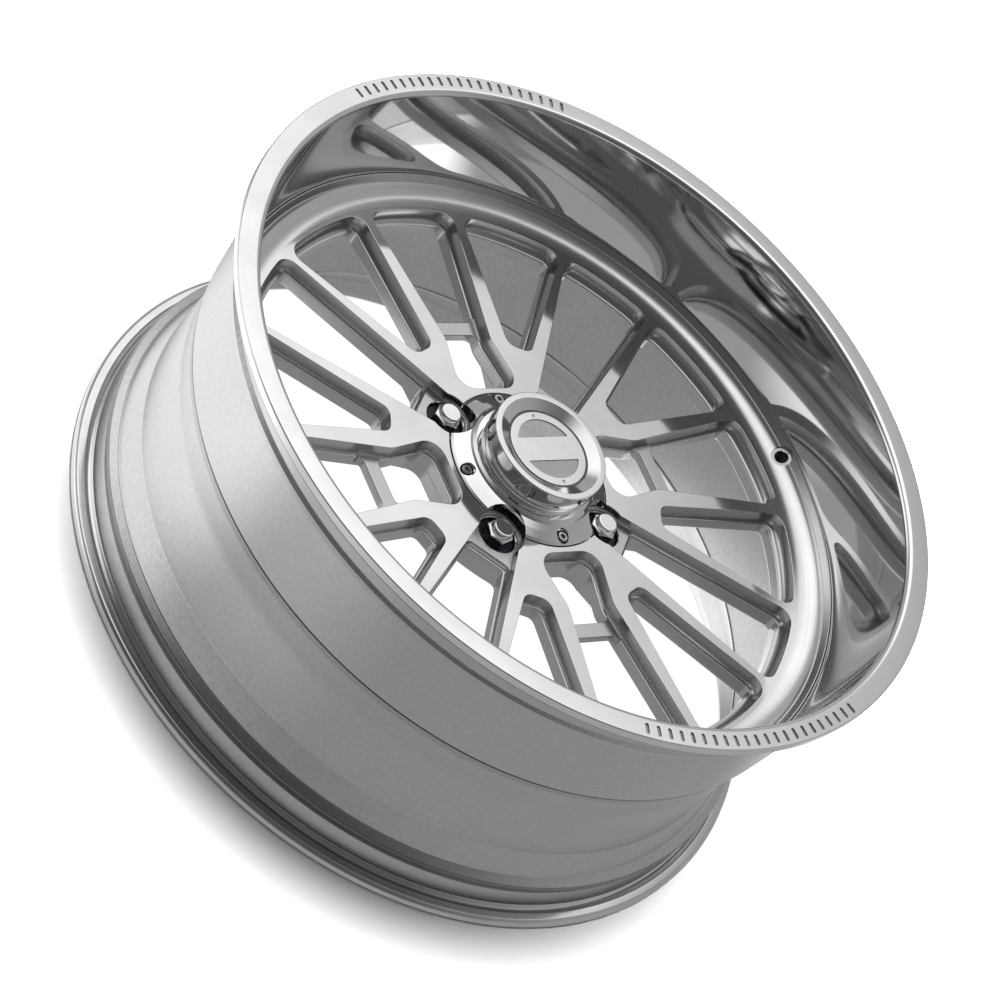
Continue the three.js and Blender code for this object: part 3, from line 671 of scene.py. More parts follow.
# ---- barrel ----
@dataclass
class Barrel:
    """The rolled barrel: two flanges, bead seats, the drop well and the polished lip."""

    layout: Layout
    finishes: Finishes
    flange_height: float = 16.2
    flange_thickness: float = 9.0
    bead_seat: float = 27.0
    ring_width: float = 17.0
    lip_draft: float = 14.5
    wall: float = 6.2
    well_start: float = 119.0
    well_end: float = 61.0
    well_start_depth: float = 9.3
    well_end_depth: float = 16.3
    shoulder: float = 7.5
    hump_height: float = 0.8
    disc_seat: float = 31.3
    weld_leg: float = 7.0
    mark_depth: float = 1.0
    mark_length: float = 9.5
    mark_width: float = 3.4
    mark_pitch: float = 1.9
    marked: tuple = ((69.0, 109.0), (250.0, 290.0))

    # GROOVE is the zone of painted shade in the grooves, behind the hump and on the crease.
    BLASTED, RING, LIP, INSIDE, FLANGE, GROOVE, MARK = range(7)

    def profile(self) -> Profile:
        """The section: the outside up, then the inside down.

        Outside: rear flange, its two grooves, the bead seat with its hump, the well, the crease, the
        front bead seat and the ring. Inside: the lip, the disc's seat, the wall with its turned step.
        """
        flange, top, back = self.layout.flange_radius, self.layout.width, self.flange_thickness
        bead = flange - self.flange_height
        well, crease = bead - self.well_end_depth, bead - self.well_start_depth
        crease_z, end = top - self.well_start, self.well_end
        hump, hump_z = bead + self.hump_height, back + self.bead_seat
        front_hump, front = top - hump_z, top - back
        inner, edge = well - self.wall, self.layout.disc_edge_z
        blasted, ring, lip, inside = self.BLASTED, self.RING, self.LIP, self.INSIDE
        edged, groove_shade = self.FLANGE, self.GROOVE
        # Corners in the groove_shade zone carry painted shade: the flange's grooves, the band behind the hump
        # and the crease.
        outside = [
            (flange - 15, 0, 1.0, edged), (flange, 0, 4.4, edged), (flange, back, 4.4, edged),
            (flange - 9.0, back + 0.4, 0.5, groove_shade), (flange - 9.6, back - 0.8, 0.4, groove_shade),
            (flange - 12.4, back - 0.8, 0.4, edged), (flange - 13.8, back + 1.0, 0.4, edged),
            (bead + 0.8, back + 2.4, 1.5, blasted), (bead - 1.4, hump_z - 8, 6.0, blasted),
            (hump, hump_z, 0.8, groove_shade), (hump - 1.0, hump_z + 1.8, 0.6, blasted),
            (bead - self.shoulder, hump_z + 3.8, 2.0, blasted), (well + 0.4, end + 2, 4.0, blasted),
            (well + 0.4, crease_z - 35, 60.0, blasted), (crease - 2.0, crease_z - 8, 30.0, blasted),
            (crease, crease_z - 0.9, 0.1, groove_shade), (crease - 1.0, crease_z + 0.2, 0.1, groove_shade),
            (crease + 0.4, crease_z + 1.0, 0.3, blasted), (bead - 0.6, front_hump - 5, 1.5, blasted),
            (hump, front_hump, 1.0, blasted), (bead - 1.2, front_hump + 4, 2.0, blasted),
            (bead, front - 11, 4.0, blasted), (bead + 4.5, front - 3.6, 4.0, blasted),
            (flange - 0.8, front + 0.8, 0.5, ring), (flange, front + 2.4, 0.5, ring),
            (flange, top, 1.2, ring),
        ]
        lip_top = flange - self.ring_width - 3.4
        lip_end = lip_top - self.lip_draft + 3.4
        rear_wall = bead - 7.5
        within = [
            (lip_top, top, 5.0, lip), (lip_end, edge + 3, 0.6, lip), (lip_end - 0.6, edge - 3, 0.6, inside),
            (lip_end - 0.9, edge - self.disc_seat, 0, inside), (inner, edge - self.disc_seat, 0, inside),
            (inner, end - 2.4, 0.4, edged), (inner - 1.0, end - 3.4, 0.5, edged),
            (inner - 1.0, end - 5.4, 0.5, edged), (inner + 0.3, end - 6.4, 0.4, inside),
            (inner + 1.2, end - 9, 3.0, inside), (rear_wall - 1, hump_z - 5, 6.0, inside),
            (rear_wall, 14, 4.0, inside),
        ]
        return Profile(outside + within, 6)

    def marks(self, first: float, last: float) -> bpy.types.Object:
        """Plain engraved slots in the ring face between two angles, each a rounded rectangle."""
        outer, inner = self.layout.flange_radius, self.layout.flange_radius - self.ring_width
        middle = (outer + inner) / 2
        half_length, half_width = self.mark_length / 2, self.mark_width / 2
        corners = np.array([
            (middle - half_length, -half_width), (middle + half_length, -half_width),
            (middle + half_length, half_width), (middle - half_length, half_width)])
        outline, _ = rounded(corners, np.full(4, half_width * 0.9), 4)
        top = self.layout.width
        turns = np.radians(np.arange(first, last, self.mark_pitch))
        floor = inset(outline, np.full(len(outline), 0.3))
        levels = [floor, outline, outline]
        heights = [top - self.mark_depth, top - 0.25, top + 2]
        return lofted("ring_marks", levels, heights, self.materials(), [self.MARK, self.MARK], turns)

    def materials(self) -> list:
        """The finishes in the order of the zones."""
        return self.finishes("blasted", "ring", "lip", "inside", "flange", "groove_shade", "mark")

    def build(self) -> None:
        """Makes the barrel and its weld and hands them over."""
        piece = turned("rolled_barrel", self.profile(), self.materials(), RIM_SEGMENTS)
        carve(piece, [self.marks(first, last) for first, last in self.marked])
        fit(shaded(piece), Body.WHEEL.value, Slot.BARREL, "barrel")
        low, high = node_box("rear_weld_ring")
        outer, leg = float(high[0]), self.weld_leg
        bead = Profile([
            (outer - leg, high[2] - 0.2, 0.8, 0), (outer - leg * 0.9, high[2] - leg * 0.5, 3.0, 0),
            (outer - leg * 0.35, high[2] - leg * 0.85, 3.0, 0), (outer, low[2], 0.8, 0),
            (outer, high[2], 0, 0)], 4)
        weld = turned("weld_bead", bead, self.finishes("inside"), RIM_SEGMENTS)
        fit(shaded(weld), Body.WHEEL.value, Slot.BARREL, "rear_weld_ring")


# ---- centre disc ----
@dataclass(frozen=True)
class Window:
    """A window between spokes: inner corners, the directions of its sides and its end circle."""

    lower: tuple
    upper: tuple
    lower_angle: float
    upper_angle: float
    inner_radii: tuple
    end_radius: float
    outer_corner: float = 12.0
    corner_room: float = 5.0
    corner_loss: float = 0.9
    arc_steps: int = 12
    fillet_steps: int = 7

    def _end(self, point: tuple, angle: float) -> np.ndarray:
        """Where a line from a point along an angle meets the end circle."""
        direction = np.array([math.cos(angle), math.sin(angle)])
        start = np.array(point, float)
        along = float(start @ direction)
        reach = -along + math.sqrt(along * along - float(start @ start) + self.end_radius ** 2)
        return start + direction * reach

    def outline(self, side: float, end: float) -> np.ndarray:
        """The outline with its sides and its outer end moved inwards.

        Args:
            side: How far the sides move in, negative for outwards.
            end: How far the outer end moves in.

        Returns:
            The outline's points, anticlockwise, as many for any inset.
        """
        low, high = self._end(self.lower[-1], self.lower_angle), self._end(self.upper[0], self.upper_angle)
        clear = (self.outer_corner + self.corner_room) / self.end_radius
        first, last = math.atan2(low[1], low[0]) + clear, math.atan2(high[1], high[0]) - clear
        angles = np.linspace(first, last, self.arc_steps)
        arc = self.end_radius * np.stack([np.cos(angles), np.sin(angles)], -1)
        corners = np.vstack([self.lower, low, arc, high, self.upper])
        count = len(self.lower)
        distances = np.full(len(corners), side)
        distances[count:count + len(arc) + 1] = end
        loss = self.corner_loss if side > 0 else 1.0
        inner = [radius - side * loss for radius in self.inner_radii]
        outer = self.outer_corner - max(side, end, key=abs) * loss
        radii = np.array([*inner, outer, *np.zeros(len(arc)), outer, *reversed(inner)])
        return rounded(inset(corners, distances), radii, self.fillet_steps)[0]


@dataclass
class CentreDisc:
    """The milled disc: spokes, sixteen windows, lug pockets, the cove at its edge and the valve hole."""

    layout: Layout
    finishes: Finishes
    spoke_depth: float = 24.0
    pad_radius: float = 98.0
    pad_slope: float = 24.0
    pilot_radius: float = 66.0
    pilot_depth: float = 12.0
    edge_height: float = 31.0
    land: float = 6.0
    end_margin: float = 29.5
    step_depth: float = 8.0
    step_side: float = 4.0
    step_end: float = 8.0
    hollow_depth: float = 12.0
    hollow_steps: int = 13
    top_edge: float = 0.45
    step_edge: float = 0.5
    back_edge: float = 2.6
    pocket_radius: float = 20.5
    counterbore_radius: float = 17.0
    counterbore_depth: float = 17.0
    bolt_hole: float = 8.0
    recess_radius: float = 74.5
    recess_depth: float = 4.5
    bore_radius: float = 56.0
    lug_web: float = 27.0
    bridge_start: float = 139.5
    bridge_width: float = 13.0
    bridge_depth: float = 10.8
    bridge_thickness: float = 8.0
    bridge_half: float = 22.4
    bridge_corners: tuple = (8.0, 4.0)
    bridge_ease: float = 0.8
    valve_radius: float = 5.7
    valve_counterbore: float = 9.3
    valve_counterbore_depth: float = 4.5
    valve_from_edge: float = 9.4
    axis_inner: tuple = (4.75, 33.0)
    axis_waist: tuple = (129.0, 24.0)
    axis_taper: float = 0.1653
    axis_corners: tuple = (15.0, 25.0)
    side_apex: tuple = (84.6, 36.4)
    side_blunt: float = 38.3
    side_angles: tuple = (5.7, 39.9)
    side_corner: float = 10.0
    lug_half: tuple = (85.4, 18.6)
    lug_taper: float = 0.1454
    lug_corner: float = 6.0

    FACE, WALL, COVE, BACK = range(4)

    def materials(self) -> list:
        """The disc's materials in the order of its zones."""
        return self.finishes("face", "wall", "cove", "back")

    def body(self) -> bpy.types.Object:
        """The turned blank. The cove is an arc level with the face at its foot."""
        face, edge = self.layout.face_z, self.layout.disc_edge_z
        rise, run, disc = self.layout.disc_edge_rise, self.layout.cove_run, self.layout.disc_radius
        sweep = 2 * math.atan(rise / run)
        radius = run / math.sin(sweep)
        angle = np.linspace(sweep, 0, 28)[1:]
        cove = [(disc - run + radius * math.sin(a), face + radius * (1 - math.cos(a)), 0, self.COVE)
                for a in angle]
        cove[-1] = (*cove[-1][:3], self.FACE)
        ridge_z = face + radius - math.sqrt(radius ** 2 - (run - self.land) ** 2)
        cove = [corner for corner in cove if corner[0] < disc - self.land - 1]
        register, back_z = disc - 6.7, face - self.spoke_depth
        mount = self.layout.mount_z
        back, wall = self.BACK, self.WALL
        return turned("milled_disc", Profile([
            (self.pilot_radius, mount, 0.8, back), (self.pad_radius, mount, 2.0, back),
            (self.pad_radius + self.pad_slope, back_z, 6.0, back), (register, back_z, 0.5, back),
            (register, edge - self.edge_height, 0, wall), (disc, edge - self.edge_height, 0, wall),
            (disc, edge, 0.9, wall), (disc - self.land + 1, ridge_z + 0.3, 0.8, wall),
            (disc - self.land, ridge_z + 0.5, 0.35, self.COVE), *cove, (self.recess_radius, face, 0.5, wall),
            (self.recess_radius, face - self.recess_depth, 0.3, wall),
            (self.bore_radius, face - self.recess_depth, 0.5, wall),
            (self.bore_radius, mount + self.pilot_depth, 0.5, wall),
            (self.pilot_radius, mount + self.pilot_depth, 0, wall)], 5), self.materials(), RIM_SEGMENTS)

    def wall(self) -> np.ndarray:
        """The section of a window's wall from the back up: rows of side inset, end inset and height.

        It is straight up to a narrow ridge, then a hollow, a quarter of an ellipse that is level at
        the ridge and upright at the face; every edge is eased by a quadratic curve.
        """
        side, end, depth, step = self.step_side, self.step_end, self.spoke_depth, self.hollow_depth
        back, edge = self.back_edge, self.step_edge
        lower = bend((side - back, -depth + 0.03), (side, -depth), (side, -depth + back), 4)
        ridge = bend((side, -step - edge), (side, -step), (side - edge, -step), 4)
        turn = np.linspace(0, math.pi / 2, self.hollow_steps)[1:-1, None]
        hollow = np.hstack([(side - edge) * (1 - np.sin(turn)),
                            -step + (step - self.top_edge) * (1 - np.cos(turn))])
        upper = bend((0.0, -self.top_edge), (0.0, 0.0), (-self.top_edge, -0.02), 4)
        rows = np.vstack([lower, ridge, hollow, upper])
        share = np.clip(rows[:, :1] / side, -1, 1)
        ends = np.where(rows[:, :1] > 0, share * end, rows[:, :1])
        ends[:len(lower)] = end - side + rows[:len(lower), :1]
        table = np.hstack([rows[:, :1], ends, rows[:, 1:]])
        below = np.array([[*table[0, :2], self.layout.mount_z - self.layout.face_z - 3]])
        above = np.array([[*table[-1, :2], 3.0]])
        return np.vstack([below, table, above])

    def cutter(self, name: str, window: Window, table: np.ndarray, turns: np.ndarray) -> bpy.types.Object:
        """A window's cutter through every row of a wall section."""
        outlines = [window.outline(side, end) for side, end, _ in table]
        heights = [self.layout.face_z + z for z in table[:, 2]]
        zones = [self.FACE if z > -self.top_edge * 0.9 else self.WALL for z in table[1:, 2]]
        return lofted(name, outlines, heights, self.materials(), zones, turns)

    def windows(self) -> list:
        """Cutters of the axis windows, the side windows on both hands and the lug windows."""
        end = self.layout.disc_radius - self.end_margin
        quarter = np.arange(LUG_COUNT) * 2 * math.pi / LUG_COUNT
        section = self.wall()
        inner, waist = (self.recess_radius + self.axis_inner[0], self.axis_inner[1]), self.axis_waist
        slope = math.atan(self.axis_taper)
        axis = Window(((inner[0], -inner[1]), (waist[0], -waist[1])), (waist, inner), -slope, slope,
                      self.axis_corners, end)
        low_angle, high_angle = (math.radians(angle) for angle in self.side_angles)
        low, high = (np.array(self.side_apex) + self.side_blunt * np.array([math.cos(a), math.sin(a)])
                     for a in (low_angle, high_angle))
        corner = (self.side_corner,)
        side = Window((tuple(low),), (tuple(high),), low_angle, high_angle, corner, end)
        other = Window(((high[0], -high[1]),), ((low[0], -low[1]),), -high_angle, -low_angle, corner, end)
        lug_turns = quarter + math.pi / LUG_COUNT
        above = section[:, 2] > -self.step_depth
        at_step = [np.interp(-self.step_depth, section[:, 2], section[:, column]) for column in (0, 1)]
        floor = np.vstack([[*at_step, -self.step_depth], section[above]])
        through = np.vstack([section[~above], [*at_step, -self.step_depth + 0.02]])
        lug = self.layout.lug_circle
        return [
            self.cutter("axis_windows", axis, section, quarter),
            self.cutter("side_windows", side, section, quarter),
            self.cutter("other_windows", other, section, quarter),
            self.cutter("lug_windows", self.lug_window(lug, end), floor, lug_turns),
            self.cutter("lug_through", self.lug_window(lug + self.lug_web - self.step_side, end), through,
                        lug_turns),
        ]

    def lug_window(self, start: float, end: float) -> Window:
        """The window outside a lug, from a given radius outwards."""
        there, half_there = self.lug_half
        half = half_there + (start - there) * self.lug_taper
        slope = math.atan(self.lug_taper)
        return Window(((start, -half),), ((start, half),), -slope, slope, (self.lug_corner,), end)

    def bridges(self) -> bpy.types.Object:
        """The bars across the axis windows, which widen in a round corner where they meet a spoke.

        Each side of a bar lies at its place plus or minus r - sqrt(r^2 - t^2), where t is how far
        a point has gone into the corner of radius r.
        """
        top = self.layout.face_z - self.bridge_depth
        low, ease = top - self.bridge_thickness, self.bridge_ease
        start, stop = self.bridge_start, self.bridge_start + self.bridge_width
        top_rows = bend((0, top - ease), (0, top), (ease, top), 4)
        low_rows = bend((ease, low), (0, low), (0, low + ease), 4)
        rows = np.vstack([low_rows, top_rows])
        across = np.linspace(-self.bridge_half - 5, self.bridge_half + 5, 53)

        def flare(radius: float) -> np.ndarray:
            """How far a side has moved out at each place across the window."""
            into = np.clip(np.abs(across) - self.bridge_half + radius, 0, radius)
            return radius - np.sqrt(radius ** 2 - into ** 2)

        inner, outer = self.bridge_corners
        outlines = [np.vstack([np.stack([stop - distance + flare(outer), across], -1),
                               np.stack([start + distance - flare(inner), across], -1)[::-1]])
                    for distance in rows[:, 0]]
        turns = np.arange(LUG_COUNT) * 2 * math.pi / LUG_COUNT
        zones = [self.WALL] * (len(rows) - 1)
        return lofted("bridges", outlines, list(rows[:, 1]), self.materials(), zones, turns)

    def pockets(self) -> list:
        """The lug pockets with their counterbores and bolt holes, turned about each lug."""
        face, wall, top = self.layout.face_z, self.WALL, self.FACE
        step, bore = face - self.step_depth, face - self.counterbore_depth
        pocket, wide, edge = self.pocket_radius, self.counterbore_radius, self.top_edge
        profile = Profile([
            (0, face + 3, 0, wall), (0, self.layout.mount_z - 3, 0, wall),
            (self.bolt_hole, self.layout.mount_z - 3, 0, wall), (self.bolt_hole, bore - 0.8, 0, wall),
            (self.bolt_hole + 0.8, bore, 0, wall), (wide, bore, 0, wall), (wide, step - 0.6, 0, top),
            (wide + 0.6, step, 0, wall), (pocket, step, 1.2, wall), (pocket, face - edge, 0.6, top),
            (pocket + edge, face - 0.02, 0, wall), (pocket + edge, face + 3, 0, wall)], 5)
        return turned_copies("lug_pocket", profile, self.materials(), ROUND_SEGMENTS * 2,
                             places(self.layout.lug_circle, HALF_STEP))

    def valve_hole(self) -> bpy.types.Object:
        """The valve hole, square to the cove's chord, with its counterbore."""
        rise, run = self.layout.disc_edge_rise, self.layout.cove_run
        tilt = math.atan2(rise, run)
        depth, ease, hole, wide = self.valve_counterbore_depth, 0.5, self.valve_radius, self.valve_counterbore
        wall, above, below = self.WALL, 40, -60
        profile = Profile([
            (0, above, 0, wall), (0, below, 0, wall), (hole, below, 0, wall),
            (hole, -depth - ease, 0, self.FACE),
            (hole + ease, -depth, 0, wall), (wide, -depth, 0.3, wall), (wide, above, 0, wall)], 3)
        tool = turned("valve_hole", profile, self.materials(), ROUND_SEGMENTS)
        x = self.layout.disc_radius - self.valve_from_edge
        z = self.layout.disc_edge_z - self.valve_from_edge * math.tan(tilt)
        tool.data.transform(Matrix.Translation((x * MM, 0, z * MM)) @ Matrix.Rotation(-tilt, 4, "Y"))
        return tool

    def build(self) -> None:
        """Cuts the blank, adds the bridges and hands the disc over."""
        disc = carve(self.body(), self.windows())
        carve(disc, [*self.pockets(), self.valve_hole()])
        carve(disc, [self.bridges()], "UNION")
        fit(shaded(disc, 24.0), Body.WHEEL.value, Slot.DISC, "centre_disc")


# ---- hub cap ----
@dataclass
class HubCap:
    """The screwed cap: flange, neck, head, and the medallion in its black ring."""

    layout: Layout
    finishes: Finishes
    flange_radius: float = 73.4
    shoulder_radius: float = 57.0
    neck_radius: float = 48.0
    spigot_radius: float = 55.6
    bore_radius: float = 43.4
    thread_step: float = 1.6
    head_skirt: float = 15.0
    head_flat: float = 5.5
    dish_radius: float = 37.4
    dish_depth: float = 4.5
    medallion_radius: float = 35.6
    scallop_radius: float = 20.5
    panel_radius: float = 28.5
    panel_gap: float = 11.0
    panel_depth: float = 0.8
    dimple_radius: float = 1.5
    dimple_place: float = 31.6
    dimple_depth: float = 0.45
    screw_hole: float = 2.8
    screw_recess: float = 5.8
    recess_depth: float = 4.0
    gasket_notch: float = 21.1

    def base(self) -> bpy.types.Object:
        """Spigot, scalloped flange, shoulder and neck."""
        face, head_low = self.layout.face_z, self.layout.head_top_z - self.head_skirt
        neck, screwed = self.neck_radius, self.neck_radius - self.thread_step
        floor = self.layout.head_top_z - 10.9
        base = turned("cap_flange_and_neck", Profile([
            (self.bore_radius, face - 9, 0.5, 0), (self.spigot_radius, face - 9, 0.5, 0),
            (self.spigot_radius, face - 2.9, 0, 0), (self.flange_radius, face - 2.9, 0.4, 0),
            (self.flange_radius, face + 0.3, 0.6, 0), (self.flange_radius - 2.0, face + 1.4, 1.5, 0),
            (self.layout.screw_circle - 2, face + 3.9, 6.0, 0),
            (self.shoulder_radius + 1.5, face + 6.0, 1.0, 0), (self.shoulder_radius, face + 7.2, 0.6, 0),
            (self.shoulder_radius - 2.5, face + 8.6, 0.8, 0), (neck + 2, face + 9.2, 1.2, 0),
            (neck, face + 11, 1.5, 0), (neck, face + 14.2, 0.3, 0), (neck - 0.8, face + 14.8, 0.3, 0),
            (neck, face + 15.4, 0.3, 0), (neck, head_low - 0.3, 0.3, 0), (screwed, head_low - 0.3, 0, 0),
            (screwed, floor, 0.4, 0), (self.bore_radius, floor, 0.4, 0)], 5),
            self.finishes("chrome", "seat"), CAP_SEGMENTS)
        return carve(base, self.scallops() + self.screw_recesses())

    def scallops(self) -> list:
        """The clearances round the lugs, with an eased upper edge."""
        face, radius = self.layout.face_z, self.scallop_radius
        profile = Profile([
            (0, face + 30, 0, 0), (0, face - 20, 0, 0), (radius, face - 20, 0, 0),
            (radius, face + 2.0, 1.0, 0), (radius + 0.6, face + 7.0, 2.0, 0),
            (radius + 1.0, face + 30, 0, 0)], 4)
        return turned_copies("scallop", profile, self.finishes("chrome", "seat"), ROUND_SEGMENTS * 2,
                             places(self.layout.lug_circle, HALF_STEP))

    def screw_recesses(self) -> list:
        """The recesses that the cap's screws sit in, with their holes."""
        seat, face = self.layout.screw_top_z - self.recess_depth, self.layout.face_z
        hole, wide = self.screw_hole, self.screw_recess
        profile = Profile([
            (0, face + 20, 0, 0), (0, face - 20, 0, 0), (hole, face - 20, 0, 1), (hole, seat, 0, 1),
            (wide, seat, 0.4, 0), (wide, face + 3.3, 0, 0), (wide + 0.8, face + 4.1, 0, 0),
            (wide + 0.8, face + 20, 0, 0)], 3)
        return turned_copies("screw_recess", profile, self.finishes("chrome", "seat"), ROUND_SEGMENTS,
                             places(self.layout.screw_circle, 0))

    def head(self) -> bpy.types.Object:
        """The screwed head: skirt, flat ring and dished wall down to the medallion."""
        top, radius = self.layout.head_top_z, self.layout.head_radius
        low, medal = top - self.head_skirt, top - self.dish_depth
        inner, floor = self.neck_radius - self.thread_step + 0.3, top - 8.1
        return turned("cap_head_shell", Profile([
            (0, floor - 2.5, 0, 0), (inner, floor - 2.5, 0, 0), (inner, low, 0.3, 0),
            (radius, low, 1.4, 0), (radius, top, 0.9, 0), (radius - self.head_flat, top, 0.9, 0),
            (self.dish_radius, medal, 0.3, 0), (self.dish_radius, floor, 0, 0), (0, floor, 0, 0)], 5),
            self.finishes("head"), CAP_SEGMENTS)

    def medallion(self) -> bpy.types.Object:
        """The plate: two sunk panels with a plain band between them, and two plain dimples."""
        top = self.layout.head_top_z - self.dish_depth
        materials = self.finishes("plate", "panel")
        plate = turned("medallion_plate", Profile([
            (0, top - 2.2, 0, 0), (self.medallion_radius, top - 2.2, 0, 0),
            (self.medallion_radius, top, 0.5, 0), (0, top, 0, 0)], 4), materials, CAP_SEGMENTS)
        end = math.asin(self.panel_gap / self.panel_radius)
        angle = np.linspace(end, math.pi - end, 49)
        arc = self.panel_radius * np.stack([np.cos(angle), np.sin(angle)], -1)
        radii = np.zeros(len(arc))
        radii[[0, -1]] = 1.2
        outline, _ = rounded(arc, radii, 4)
        floor = inset(outline, np.full(len(outline), 0.25))
        panels = lofted("panels", [floor, outline, outline], [top - self.panel_depth, top - 0.1, top + 1],
                        materials, [1, 0], np.array([0, math.pi]))
        panels.data.polygons.foreach_set("material_index", np.ones(len(panels.data.polygons), np.int32))
        low, radius = top - self.dimple_depth, self.dimple_radius
        dimple = Profile([(0, top + 2, 0, 0), (0, low, 0, 0), (radius * 0.7, low, 0.3, 0),
                          (radius, top, 0.1, 0), (radius, top + 2, 0, 0)], 3)
        middles = np.array([(0, -self.dimple_place), (0, self.dimple_place)])
        dimples = turned_copies("dimple", dimple, self.finishes("panel"), ROUND_SEGMENTS // 2, middles)
        return carve(plate, [panels, *dimples])

    def seals(self) -> None:
        """The black ring round the medallion, the pad under it and the gasket under the flange."""
        inner, outer, spigot = self.medallion_radius + 0.25, self.dish_radius - 0.2, self.spigot_radius + 0.3
        table = (
            ("medallion_seal", "medallion_ring", inner, outer, (0, 0, 0.4, 0.4), 4),
            ("medallion_cushion", "medallion_pad", 0, None, (0, 0.2, 0.2, 0), 3),
            ("flange_gasket", "cap_gasket", spigot, None, (0, 0.2, 0.2, 0), 3),
        )
        rubber = self.finishes("rubber")
        for name, node, inside, outside, fillets, steps in table:
            low, high = node_box(node)
            outside = outside or high[0]
            corners = zip((inside, outside, outside, inside), (low[2], low[2], high[2], high[2]), fillets)
            piece = turned(name, Profile([(*corner, 0) for corner in corners], steps), rubber, CAP_SEGMENTS)
            if node == "cap_gasket":
                notch = self.gasket_notch
                tool = Profile([(0, 250, 0, 0), (0, 100, 0, 0), (notch, 100, 0, 0), (notch, 250, 0, 0)], 1)
                carve(piece, turned_copies("notch", tool, rubber, ROUND_SEGMENTS,
                                           places(self.layout.lug_circle, HALF_STEP)))
            fit(shaded(piece), Body.WHEEL.value, Slot.RUBBER, node)

    def build(self) -> None:
        """Makes the cap's pieces and hands them over."""
        fit(shaded(self.base()), Body.WHEEL.value, Slot.CHROME, "cap_base")
        fit(shaded(self.head()), Body.WHEEL.value, Slot.CHROME, "cap_head")
        fit(shaded(self.medallion()), Body.WHEEL.value, Slot.MEDALLION, "medallion")
        self.seals()


# ---- fasteners ----
def hexagon(angle: np.ndarray, across_flats: float) -> np.ndarray:
    """Distance from the centre to a hexagon's side: half the flats / cos(angle off the flat)."""
    sixth = math.pi / 3
    off = (angle + sixth / 2) % sixth - sixth / 2
    return across_flats / 2 / np.cos(off)


def soft_least(a: np.ndarray, b: np.ndarray, ease: float) -> np.ndarray:
    """The smaller of two values, with a round change over `ease`."""
    share = np.clip(0.5 + 0.5 * (b - a) / ease, 0, 1)
    return b * (1 - share) + a * share - ease * share * (1 - share)


